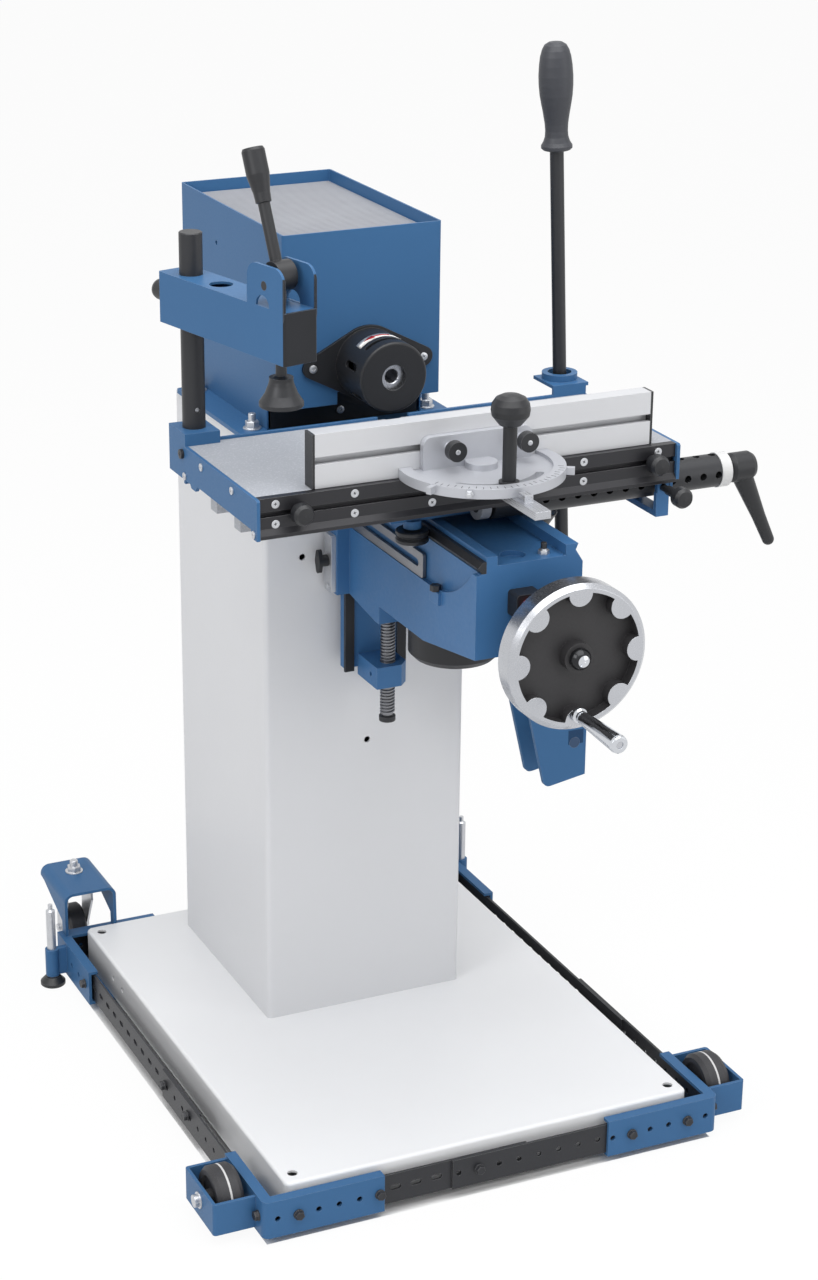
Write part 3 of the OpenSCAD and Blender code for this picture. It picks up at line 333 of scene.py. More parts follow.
@dataclass(frozen=True)
class Beyond:
    """A zone past a slanting plane, given by a place in millimetres and a direction."""

    place: tuple[float, float, float]
    toward: tuple[float, float, float]

    def mask(self, tree: NodeTree, place: NodeSocket, datum: Datum) -> NodeSocket:
        """Give one past the plane and zero before it.

        Args:
            tree: the tree that takes the nodes.
            place: Object coordinates in metres.
            datum: the machine's axes.

        Returns:
            The mask's socket.
        """
        off = add_node(
            tree, "ShaderNodeVectorMath", {0: place, 1: datum.point(*self.place)}, operation="SUBTRACT"
        )
        reach = add_node(
            tree, "ShaderNodeVectorMath", {0: off.outputs[0], 1: self.toward}, operation="DOT_PRODUCT"
        )
        past = add_node(tree, "ShaderNodeMath", {0: reach.outputs[1], 1: 0.0}, operation="GREATER_THAN")
        return past.outputs[0]


Zone = Block | Tube | Beyond


@dataclass(frozen=True)
class Zoned:
    """A finish with other finishes in some zones of the piece."""

    name: str
    base: Finish
    zones: tuple[tuple[Zone, Finish], ...]

    def parts(self) -> list[tuple[Zone, Finish]]:
        """Give the zones of the finish."""
        return list(self.zones)

    def ground(self) -> Finish:
        """Give the finish that covers the rest of the piece."""
        return self.base


Coating = Finish | Zoned

# Powder coat: smooth pale enamel with a faint orange peel, drawn at 3 mm so that it shows
WHITE_PAINT = Finish(
    "powder_coat_light_grey", "#E3E4E6", rough=0.42, grain_mm=3.0, relief_mm=0.012, cloud_mm=160,
    cloud=0.012, swing=0.05, painted_edge_highlight=0.2,
)
# The same powder coat on the column, a shade greyer
COLUMN_PAINT = Finish(
    "powder_coat_grey_column", "#D2D3D6", rough=0.44, grain_mm=3.0, relief_mm=0.012, cloud_mm=160,
    cloud=0.012, swing=0.05, painted_edge_highlight=0.15,
)
# Semi-gloss enamel on folded sheet: even blue, with a painted highlight along the folds
BLUE_PAINT = Finish(
    "enamel_blue_sheet", "#3A638D", rough=0.42, grain_mm=2.5, relief_mm=0.015, cloud_mm=120,
    cloud=0.03, swing=0.05, painted_edge_highlight=0.45, shine=0.15,
)
# Enamel on a sand casting: the same blue with the casting's slow waves under it
CAST_BLUE = Finish(
    "enamel_blue_casting", "#3C6896", rough=0.40, grain_mm=5.0, relief_mm=0.05, cloud_mm=70,
    cloud=0.05, swing=0.06, painted_edge_highlight=0.4, shine=0.2,
)
# Stoved black enamel on the motor's cast frame: deep and half glossy
MOTOR_BLACK = Finish(
    "enamel_black_casting", "#17181A", rough=0.42, grain_mm=3.0, relief_mm=0.04, cloud_mm=60,
    cloud=0.1, swing=0.08,
)
# Moulded ABS with a spark-eroded grain, drawn at 1.5 mm so that it shows
BLACK_PLASTIC = Finish(
    "abs_black_moulded", "#1F2023", rough=0.42, grain_mm=1.5, relief_mm=0.02, cloud_mm=50, cloud=0.06,
    swing=0.07, painted_edge_highlight=0.25, shine=0.4,
)
# Softer grip moulding: greyer and duller than the knobs
GRIP_PLASTIC = Finish(
    "pvc_grip_moulded", "#303238", rough=0.50, grain_mm=1.5, relief_mm=0.02, cloud_mm=60, cloud=0.06,
    swing=0.06, shine=0.35,
)
# Blackened steel bar: dark, dull sheen with drawing marks
BLACK_STEEL = Finish(
    "steel_blackened_drawn", "#2D2E31", rough=0.42, metal=0.35, grain_mm=1.2, relief_mm=0.01,
    cloud_mm=60, cloud=0.08, swing=0.08, lay=Lay.ALONG_Z, painted_edge_highlight=0.25,
)
# Blackened steel rail: cold-formed, with a scuffed sheen along its length
BLACK_RAIL = Finish(
    "steel_blackened_formed", "#2A2B2F", rough=0.46, metal=0.3, grain_mm=1.6, relief_mm=0.015,
    cloud_mm=70, cloud=0.1, swing=0.1, painted_edge_highlight=0.5,
)
# Glossy black of the hub nut
GLOSS_BLACK = Finish(
    "steel_blackened_polished", "#232427", rough=0.20, metal=0.5, grain_mm=1.0, relief_mm=0.004,
    cloud_mm=30, cloud=0.05, swing=0.05,
)
# Turned and oiled steel of the rise screw: grey and half bright
OILED_STEEL = Finish(
    "steel_turned_oiled", "#85868A", rough=0.34, metal=0.8, grain_mm=1.0, relief_mm=0.008, cloud_mm=40,
    cloud=0.06, swing=0.08,
)
# Ground steel: bright with fine marks along the travel
BRIGHT_STEEL = Finish(
    "steel_ground", "#B9BBC0", rough=0.30, metal=0.9, grain_mm=1.0, relief_mm=0.008, cloud_mm=70,
    cloud=0.05, swing=0.08, lay=Lay.ALONG_Y,
)
# Zinc plate: pale, slightly clouded silver
ZINC_STEEL = Finish(
    "steel_zinc_plated", "#C2C4C8", rough=0.34, metal=0.8, grain_mm=2.5, relief_mm=0.01, cloud_mm=18,
    cloud=0.07, swing=0.09, painted_edge_highlight=0.2,
)
# Lathe-polished aluminium: bright rim with fine turning marks
POLISHED_ALUMINIUM = Finish(
    "aluminium_polished", "#BDBFC4", rough=0.24, metal=0.95, grain_mm=0.9, relief_mm=0.006,
    cloud_mm=50, cloud=0.05, swing=0.07,
)
# Crinkle paint in the web of the handwheel: matt black with a tight wrinkle
CRINKLE_BLACK = Finish(
    "crinkle_paint_black", "#2A292B", rough=0.55, grain_mm=1.8, relief_mm=0.12, cloud_mm=40,
    cloud=0.06, swing=0.08,
)
# Chrome plate on the turned handle: near mirror
CHROME = Finish(
    "steel_chrome_plated", "#CDD0D5", rough=0.14, metal=1.0, grain_mm=1.5, relief_mm=0.003,
    cloud_mm=40, cloud=0.03, swing=0.05,
)
# Clear anodised extrusion: satin, drawn lines along its length
ANODISED = Finish(
    "aluminium_clear_anodised", "#C6C7CA", rough=0.44, metal=0.35, grain_mm=1.3, relief_mm=0.006,
    cloud_mm=90, cloud=0.02, swing=0.07, lay=Lay.ALONG_X, painted_edge_highlight=0.2,
)
# Speckled textured coat on the table: grey with lighter and darker grains of about 2 mm
TABLE_COAT = Finish(
    "texture_coat_grey", "#9DA0A6", rough=0.55, grain_mm=2.2, relief_mm=0.03, cloud_mm=140, cloud=0.04,
    swing=0.08, speck="#B9BBC0",
)
# Black anodised extrusion of the front rail: dark with a satin line along it
BLACK_ANODISED = Finish(
    "aluminium_black_anodised", "#242428", rough=0.40, metal=0.25, grain_mm=1.3, relief_mm=0.008,
    cloud_mm=80, cloud=0.06, swing=0.08, lay=Lay.ALONG_X, painted_edge_highlight=0.5,
)
# Die-cast and bead-blasted alloy of the mitre gauge: matt silver
MITRE_ALLOY = Finish(
    "zinc_alloy_blasted", "#B3B5BB", rough=0.46, metal=0.45, grain_mm=1.2, relief_mm=0.02, cloud_mm=60,
    cloud=0.04, swing=0.07, painted_edge_highlight=0.2,
)
# Gloss moulded button
RED_PLASTIC = Finish(
    "abs_red_moulded", "#E2251C", rough=0.30, grain_mm=2.0, relief_mm=0.008, cloud_mm=20, cloud=0.03,
    swing=0.04,
)
# Hard rubber tyre: dull black with a slightly grey bloom
WHEEL_RUBBER = Finish(
    "rubber_moulded", "#2C2C2F", rough=0.60, grain_mm=2.0, relief_mm=0.04, cloud_mm=30, cloud=0.1,
    swing=0.08, speck="#3A3A3D",
)
# White nylon of the rod's ring and of the tyres' seam: dull moulding
PALE_NYLON = Finish(
    "nylon_white_moulded", "#C8C8C8", rough=0.48, grain_mm=2.0, relief_mm=0.02, cloud_mm=25,
    cloud=0.03, swing=0.06,
)
# Painted shade: the enamel's blue darkened, laid where a recess or hole lies in shade
SHADE_PAINTED_BLUE = Finish(
    "enamel_blue_painted_shade", "#1F3D5E", rough=0.50, grain_mm=2.5, relief_mm=0.015, cloud_mm=60,
    cloud=0.03, swing=0.05,
)
# Ribbed rubber mat in the cover's tray: mid grey, dull
MAT_RUBBER = Finish(
    "rubber_mat_grey", "#989AA0", rough=0.66, grain_mm=1.6, relief_mm=0.05, cloud_mm=80, cloud=0.06,
    swing=0.06,
)
# White film with a soft sheen, for the plain marks
WHITE_FILM = Finish(
    "vinyl_film_white", "#E9E8E6", rough=0.40, grain_mm=3.0, relief_mm=0.004, cloud_mm=30, cloud=0.02,
    swing=0.04,
)
# Red film of the turning mark
RED_FILM = Finish(
    "vinyl_film_red", "#C5262C", rough=0.40, grain_mm=3.0, relief_mm=0.004, cloud_mm=30, cloud=0.04,
    swing=0.04,
)
# Dark etched lines of the mitre scale
DARK_MARK = Finish(
    "etched_line_dark", "#34363B", rough=0.60, grain_mm=1.0, relief_mm=0.004, cloud_mm=20, cloud=0.05,
    swing=0.05,
)


class Workshop:
    """Keeps the datum and the made materials, and hands finished pieces to the frame."""

    def __init__(self, nodes: dict[str, Object]) -> None:
        """Read the datum, keep the frame's solids and start with no materials."""
        self.datum = Datum()
        self.nodes = nodes
        self.made: dict[str, Material] = {}

    def material(self, finish: Coating) -> Material:
        """Make a finish's material once.

        Args:
            finish: a plain or zoned finish.

        Returns:
            The material.
        """
        if finish.name in self.made:
            return self.made[finish.name]
        material = bpy.data.materials.new(finish.name)
        material.use_nodes = True
        tree = material.node_tree
        tree.nodes.clear()
        place = add_node(tree, "ShaderNodeTexCoord", {}).outputs["Object"]
        ground = finish.ground()
        first = ground.channels(tree, place)
        colour, rough, height = first.colour, first.rough, first.height
        metal: Any = first.metal
        for zone, other in finish.parts():
            mask = zone.mask(tree, place, self.datum)
            over = other.channels(tree, place)
            colour = add_node(
                tree, "ShaderNodeMix", {0: mask, 6: colour, 7: over.colour}, data_type="RGBA"
            ).outputs[2]
            rough = add_node(tree, "ShaderNodeMix", {0: mask, 2: rough, 3: over.rough}).outputs[0]
            if other.metal != ground.metal or isinstance(metal, NodeSocket):
                metal = add_node(tree, "ShaderNodeMix", {0: mask, 2: metal, 3: over.metal}).outputs[0]
        soft = add_node(tree, "ShaderNodeBevel", {"Radius": ground.edge_mm * MM}, samples=4)
        # Painted edge highlight: the colour is lightened where the bevel's normal turns from the true normal,
        # standing in for the light that edges catch
        if ground.painted_edge_highlight:
            true = add_node(tree, "ShaderNodeNewGeometry", {})
            turn = add_node(
                tree,
                "ShaderNodeVectorMath",
                {0: soft.outputs[0], 1: true.outputs["Normal"]},
                operation="DOT_PRODUCT",
            )
            highlight_mask = add_node(
                tree,
                "ShaderNodeMapRange",
                {0: turn.outputs[1], 1: EDGE_HIGHLIGHT_START, 2: EDGE_HIGHLIGHT_FULL, 3: 0.0, 4: ground.painted_edge_highlight},
            )
            pale = tuple(min(1.0, c + EDGE_HIGHLIGHT_LIFT) for c in linear(ground.colour)[:3]) + (1.0,)
            colour = add_node(
                tree, "ShaderNodeMix", {0: highlight_mask.outputs[0], 6: colour, 7: pale}, data_type="RGBA"
            ).outputs[2]
        bump = add_node(
            tree,
            "ShaderNodeBump",
            {
                "Strength": RELIEF_SHARE,
                "Distance": ground.relief_mm * MM,
                "Height": height,
                "Normal": soft.outputs[0],
            },
        )
        shader = add_node(
            tree,
            "ShaderNodeBsdfPrincipled",
            {
                "Base Color": colour,
                "Roughness": rough,
                "Metallic": metal,
                "Specular IOR Level": ground.shine,
                "Normal": bump.outputs[0],
            },
        )
        add_node(tree, "ShaderNodeOutputMaterial", {"Surface": shader.outputs[0]})
        self.made[finish.name] = material
        return material

    def dress(self, node: str, finish: Coating) -> None:
        """Give a solid of the frame its finish.

        Args:
            node: the solid's name.
            finish: its finish.
        """
        material = self.material(finish)
        piece = self.nodes[node]
        if not piece.material_slots:
            piece.data.materials.append(material)
        for slot in piece.material_slots:
            slot.material = material
        LOG.info("dressed %s in %s", node, finish.name)

    def fit(self, piece: Object, name: str, body: str, finish: Coating, slot: str) -> Object:
        """Name a new piece, give it its finish and let it ride on a body.

        Args:
            piece: the finished mesh, in its place.
            name: the piece's name.
            body: the body that carries it.
            finish: its finish.
            slot: the record's material slot; not used.

        Returns:
            The piece.
        """
        piece.name = name
        piece.data.name = name
        piece.data.materials.clear()
        piece.data.materials.append(self.material(finish))
        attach(piece, body)
        LOG.info("made %s on %s", name, body)
        return piece


class Bench:
    """Hand operations on one mesh at a time; lengths are in millimetres."""

    @staticmethod
    def clear() -> None:
        """Leave edit mode and deselect everything."""
        if bpy.context.object and bpy.context.object.mode != "OBJECT":
            bpy.ops.object.mode_set(mode="OBJECT")
        bpy.ops.object.select_all(action="DESELECT")

    @staticmethod
    def hold(piece: Object) -> None:
        """Make one piece the only one selected."""
        Bench.clear()
        piece.select_set(True)
        bpy.context.view_layer.objects.active = piece

    @staticmethod
    def settle(piece: Object) -> Object:
        """Put the object's place into its mesh.

        Args:
            piece: the object.

        Returns:
            The object, at the origin.
        """
        Bench.hold(piece)
        bpy.ops.object.transform_apply(location=True, rotation=True, scale=True)
        return piece

    @staticmethod
    def disc(sides: int, radius: float, height: float, bottom: float = 0.0) -> Object:
        """Add a disc that stands on a height along Z.

        Args:
            sides: corners of its outline.
            radius: its radius.
            height: its thickness.
            bottom: the height of its foot.

        Returns:
            The disc.
        """
        Bench.clear()
        bpy.ops.mesh.primitive_cylinder_add(
            vertices=sides, radius=radius * MM, depth=height * MM, location=(0, 0, (bottom + height / 2) * MM)
        )
        return Bench.settle(bpy.context.object)

    @staticmethod
    def slab(low: Vector, high: Vector) -> Object:
        """Add a block between two corners.

        Args:
            low: the lowest corner, in metres.
            high: the highest corner, in metres.

        Returns:
            The block.
        """
        Bench.clear()
        bpy.ops.mesh.primitive_cube_add(size=1, location=(low + high) / 2)
        piece = bpy.context.object
        piece.scale = high - low
        return Bench.settle(piece)

    @staticmethod
    def faces(piece: Object, test: Callable[[Vector, Vector], bool]) -> None:
        """Select faces in edit mode.

        Args:
            piece: the mesh.
            test: takes a face's centre, in metres, and its normal.
        """
        Bench.hold(piece)
        bpy.ops.object.mode_set(mode="EDIT")
        bpy.ops.mesh.select_mode(type="FACE")
        mesh = bmesh.from_edit_mesh(piece.data)
        for face in mesh.faces:
            face.select_set(test(face.calc_center_median(), face.normal))
        mesh.select_flush_mode()
        bmesh.update_edit_mesh(piece.data)

    @staticmethod
    def verts(piece: Object, test: Callable[[Vector], bool]) -> None:
        """Select corners in edit mode.

        Args:
            piece: the mesh.
            test: takes a corner's place, in metres.
        """
        Bench.hold(piece)
        bpy.ops.object.mode_set(mode="EDIT")
        bpy.ops.mesh.select_mode(type="VERT")
        mesh = bmesh.from_edit_mesh(piece.data)
        for corner in mesh.verts:
            corner.select_set(test(corner.co))
        mesh.select_flush_mode()
        bmesh.update_edit_mesh(piece.data)

    @staticmethod
    def done() -> None:
        """Go back to object mode."""
        bpy.ops.object.mode_set(mode="OBJECT")

    @staticmethod
    def apply(piece: Object, kind: str, **settings: Any) -> None:
        """Add a modifier and apply it.

        Args:
            piece: the mesh.
            kind: Blender's name of the modifier.
            settings: properties of the modifier.
        """
        Bench.hold(piece)
        modifier = piece.modifiers.new(kind.lower(), kind)
        for name, value in settings.items():
            setattr(modifier, name, value)
        bpy.ops.object.modifier_apply(modifier=modifier.name)

    @staticmethod
    def join(pieces: list[Object]) -> Object:
        """Make several meshes one.

        Args:
            pieces: the meshes.

        Returns:
            The first of them, which now holds all.
        """
        Bench.clear()
        for piece in pieces:
            piece.select_set(True)
        bpy.context.view_layer.objects.active = pieces[0]
        bpy.ops.object.join()
        return pieces[0]

    @staticmethod
    def copy(pattern: Object, at: Vector, toward: Vector = UP, turn: float = 0.0) -> Object:
        """Set a copy of a pattern, modelled along Z on the origin, in its place.

        Args:
            pattern: the modelled piece.
            at: the place of its foot, in metres.
            toward: the direction in which it stands.
            turn: its turn about that direction, in degrees.

        Returns:
            The copy, with its place in its own mesh.
        """
        piece = pattern.copy()
        piece.data = pattern.data.copy()
        bpy.context.scene.collection.objects.link(piece)
        tilt = UP.rotation_difference(toward).to_matrix().to_4x4()
        piece.matrix_world = Matrix.Translation(at) @ tilt @ Matrix.Rotation(math.radians(turn), 4, "Z")
        return Bench.settle(piece)

    @staticmethod
    def smooth(piece: Object, angle: float = 35.0) -> Object:
        """Shade a piece smooth up to an edge angle.

        Args:
            piece: the mesh.
            angle: the angle, in degrees.

        Returns:
            The piece.
        """
        Bench.hold(piece)
        bpy.ops.object.shade_smooth_by_angle(angle=math.radians(angle))
        return piece


@dataclass
class HexFastener:
    """A hexagon nut or bolt head on its washer, with a stud end where there is one."""

    across: float
    height: float
    washer: float = 0.0
    stud: float = 0.0
    proud: float = 0.0
    washer_t: float = 1.6
    washer_edge: float = 0.4
    chamfer_share: float = 0.07
    dish_share: float = 0.1
    dish: float = 0.25
    tip_share: float = 0.25

    def build(self) -> Object:
        """Model the fastener along Z on the origin.

        Returns:
            The pattern, to be copied to its places.
        """
        foot = 0.0
        pieces: list[Object] = []
        if self.washer:
            ring = Bench.disc(32, self.washer, self.washer_t)
            Bench.faces(ring, lambda c, n: n.z > FLAT)
            bpy.ops.mesh.bevel(offset=self.washer_edge * MM, segments=2, affect="EDGES")
            Bench.done()
            pieces.append(ring)
            foot = self.washer_t
        nut = Bench.disc(6, self.across / math.sqrt(3), self.height, foot)
        Bench.faces(nut, lambda c, n: n.z > FLAT)
        bpy.ops.mesh.bevel(offset=self.across * self.chamfer_share * MM, segments=2, affect="EDGES")
        Bench.done()
        Bench.faces(nut, lambda c, n: n.z > LEVEL)
        bpy.ops.mesh.inset(thickness=self.across * self.dish_share * MM, depth=-self.dish * MM)
        Bench.done()
        pieces.append(nut)
        if self.stud:
            end = Bench.disc(24, self.stud, self.height + self.proud, foot)
            Bench.faces(end, lambda c, n: n.z > FLAT)
            bpy.ops.mesh.bevel(offset=self.stud * self.tip_share * MM, segments=3, affect="EDGES")
            Bench.done()
            pieces.append(end)
        return Bench.smooth(Bench.join(pieces))


@dataclass
class CrossScrew:
    """A screw head with a cross recess."""

    radius: float
    rise: float
    dome: float = 0.6
    slot_reach: float = 0.62
    slot_half: float = 0.14
    slot_floor: float = 0.35

    def build(self) -> Object:
        """Model the head along Z on the origin.

        Returns:
            The pattern, to be copied to its places.
        """
        head = Bench.disc(28, self.radius, self.rise)
        Bench.faces(head, lambda c, n: n.z > FLAT)
        bpy.ops.mesh.inset(thickness=self.radius * 0.25 * MM, depth=self.dome * 0.6 * MM)
        bpy.ops.mesh.inset(thickness=self.radius * 0.3 * MM, depth=self.dome * 0.4 * MM)
        Bench.done()
        deep = (self.rise + self.dome) * MM
        bars: list[Object] = []
        for turn in (0, 90):
            reach = self.radius * self.slot_reach * MM
            wide = self.radius * self.slot_half * MM
            bar = Bench.slab(Vector((-reach, -wide, deep * self.slot_floor)), Vector((reach, wide, deep * 2)))
            Bench.faces(bar, lambda c, n: n.z < -FLAT)
            bpy.ops.transform.resize(value=(0.5, 0.6, 1), center_override=(0, 0, 0))
            Bench.done()
            bar.rotation_euler.z = math.radians(turn)
            bars.append(Bench.settle(bar))
        cutter = bars[0]
        Bench.apply(cutter, "BOOLEAN", operation="UNION", object=bars[1])
        Bench.apply(head, "BOOLEAN", operation="DIFFERENCE", object=cutter)
        for bar in bars:
            bpy.data.objects.remove(bar)
        return Bench.smooth(head)


@dataclass
class Assembly:
    """A group of the machine's pieces that is dressed and built together."""

    shop: Workshop

    def at(self, x: float, y: float, z: float) -> Vector:
        """Give a place of the machine in the frame, in metres."""
        return self.shop.datum.point(x, y, z)

    def dress_all(self, finishes: dict[str, Coating]) -> None:
        """Dress several solids."""
        for node, finish in finishes.items():
            self.shop.dress(node, finish)

    def scatter(
        self,
        pattern: Object,
        stem: str,
        body: str,
        finish: Coating,
        slot: str,
        places: list[tuple[Vector, Vector, float]],
    ) -> None:
        """Set copies of a pattern in their places and remove the pattern.

        Args:
            pattern: the modelled piece.
            stem: the start of the copies' names.
            body: the body that carries them.
            finish: their finish.
            slot: the record's material slot.
            places: foot, direction and turn of each copy.
        """
        for number, (place, toward, turn) in enumerate(places, 1):
            piece = Bench.copy(pattern, place, toward, turn)
            self.shop.fit(piece, f"{stem}_{number:02d}", body, finish, slot)
        bpy.data.objects.remove(pattern)


@dataclass
class MobileFrame(Assembly):
    """Base tray, frame corners, rails, wheels and levelling feet."""

    face: float = 294.0
    front: float = -362.0
    back: float = 365.0
    bolt_z: float = 34.0
    front_bolts: tuple[float, ...] = (-251.8, -151.0, 176.2, 251.8)
    lap_bolt: float = -23.0
    lap_step: float = 4.0
    rear_bolts: tuple[float, ...] = (31.0, 112.0)
    corner_bolt: float = -346.0
    rail_face: float = 290.0
    rail_bolts: tuple[float, ...] = (-34.0, -112.0)
    axle: tuple[float, float, float] = (345.0, -293.0, 36.0)
    axle_out: float = 5.0
    axle_r: float = 7.8
    axle_end: tuple[float, float] = (-4.7, 4.0)
    seam: float = 317.5
    seam_half: float = 1.2
    bell: tuple[float, float] = (-1.0, 12.4)
    arch: tuple[float, float, float] = (252.0, 412.0, 118.0)

    def dress(self) -> None:
        """Give the frame's solids their finishes."""
        x, y, z = self.axle
        level = Zoned("levelling_foot", ZINC_STEEL, ((band(Axis.Z, *self.bell), BLACK_PLASTIC),))
        wheel = Zoned(
            "front_wheel_moulded",
            WHEEL_RUBBER,
            tuple(
                (band(Axis.X, s * self.seam - self.seam_half, s * self.seam + self.seam_half), PALE_NYLON)
                for s in (-1, 1)
            ),
        )
        corner = Zoned(
            "front_corner_and_axle",
            BLUE_PAINT,
            tuple(
                (Tube(Axis.X, (s * (x + self.axle_out), y, z), 0, self.axle_r, *self.axle_end), ZINC_STEEL)
                for s in (-1, 1)
            ),
        )
        self.dress_all(
            {
                "base_tray": WHITE_PAINT,
                "column": COLUMN_PAINT,
                "corner_front_left": corner,
                "corner_front_right": corner,
                "corner_rear_left": BLUE_PAINT,
                "corner_rear_right": BLUE_PAINT,
                "rails_across": BLACK_RAIL,
                "rails_along": BLACK_RAIL,
                "front_wheel_left": wheel,
                "front_wheel_right": wheel,
                "caster_fork_left": ZINC_STEEL,
                "caster_fork_right": ZINC_STEEL,
                "caster_wheel_left": WHEEL_RUBBER,
                "caster_wheel_right": WHEEL_RUBBER,
                "level_foot_left": level,
                "level_foot_right": level,
            }
        )

    def build(self) -> None:
        """Add the frame's bolts, nuts and washers."""
        bolts = [(self.at(x, self.front, self.bolt_z), FRONT, 15.0) for x in self.front_bolts]
        bolts.append((self.at(self.lap_bolt, self.front + self.lap_step, self.bolt_z), FRONT, 15.0))
        for side, outward in ((-1, LEFT), (1, RIGHT)):
            for off in self.rear_bolts:
                bolts.append((self.at(side * self.face, self.back - off, self.bolt_z), outward, 20.0))
            for y in self.rail_bolts:
                bolts.append((self.at(side * self.rail_face, y, self.bolt_z), outward, 20.0))
            bolts.append((self.at(side * self.face, self.corner_bolt, self.bolt_z), outward, 20.0))
        bolt = HexFastener(across=10, height=4.6, washer=6.3).build()
        self.scatter(bolt, "frame_bolt", "base", BLACK_RAIL, "black_oxide", bolts)
        x, y, z = self.axle
        heads = [(self.at(side * x, y, z), RIGHT if side > 0 else LEFT, 10.0) for side in (-1, 1)]
        head = HexFastener(across=13.4, height=5.2, washer=10.0).build()
        self.scatter(head, "axle_head", "base", ZINC_STEEL, "zinc_steel", heads)
        x, y, z = self.arch
        arches = [(self.at(side * x, y, z), UP, 12.0 * side) for side in (-1, 1)]
        nut = HexFastener(across=17, height=7.0, washer=12.0, stud=5.6, proud=8.0).build()
        self.scatter(nut, "caster_nut", "base", ZINC_STEEL, "zinc_steel", arches)


@dataclass(frozen=True)
class Strip:
    """A narrow film bent round the guard, in millimetres and degrees."""

    lift: float
    low: float
    high: float
    start: float
    sweep: float


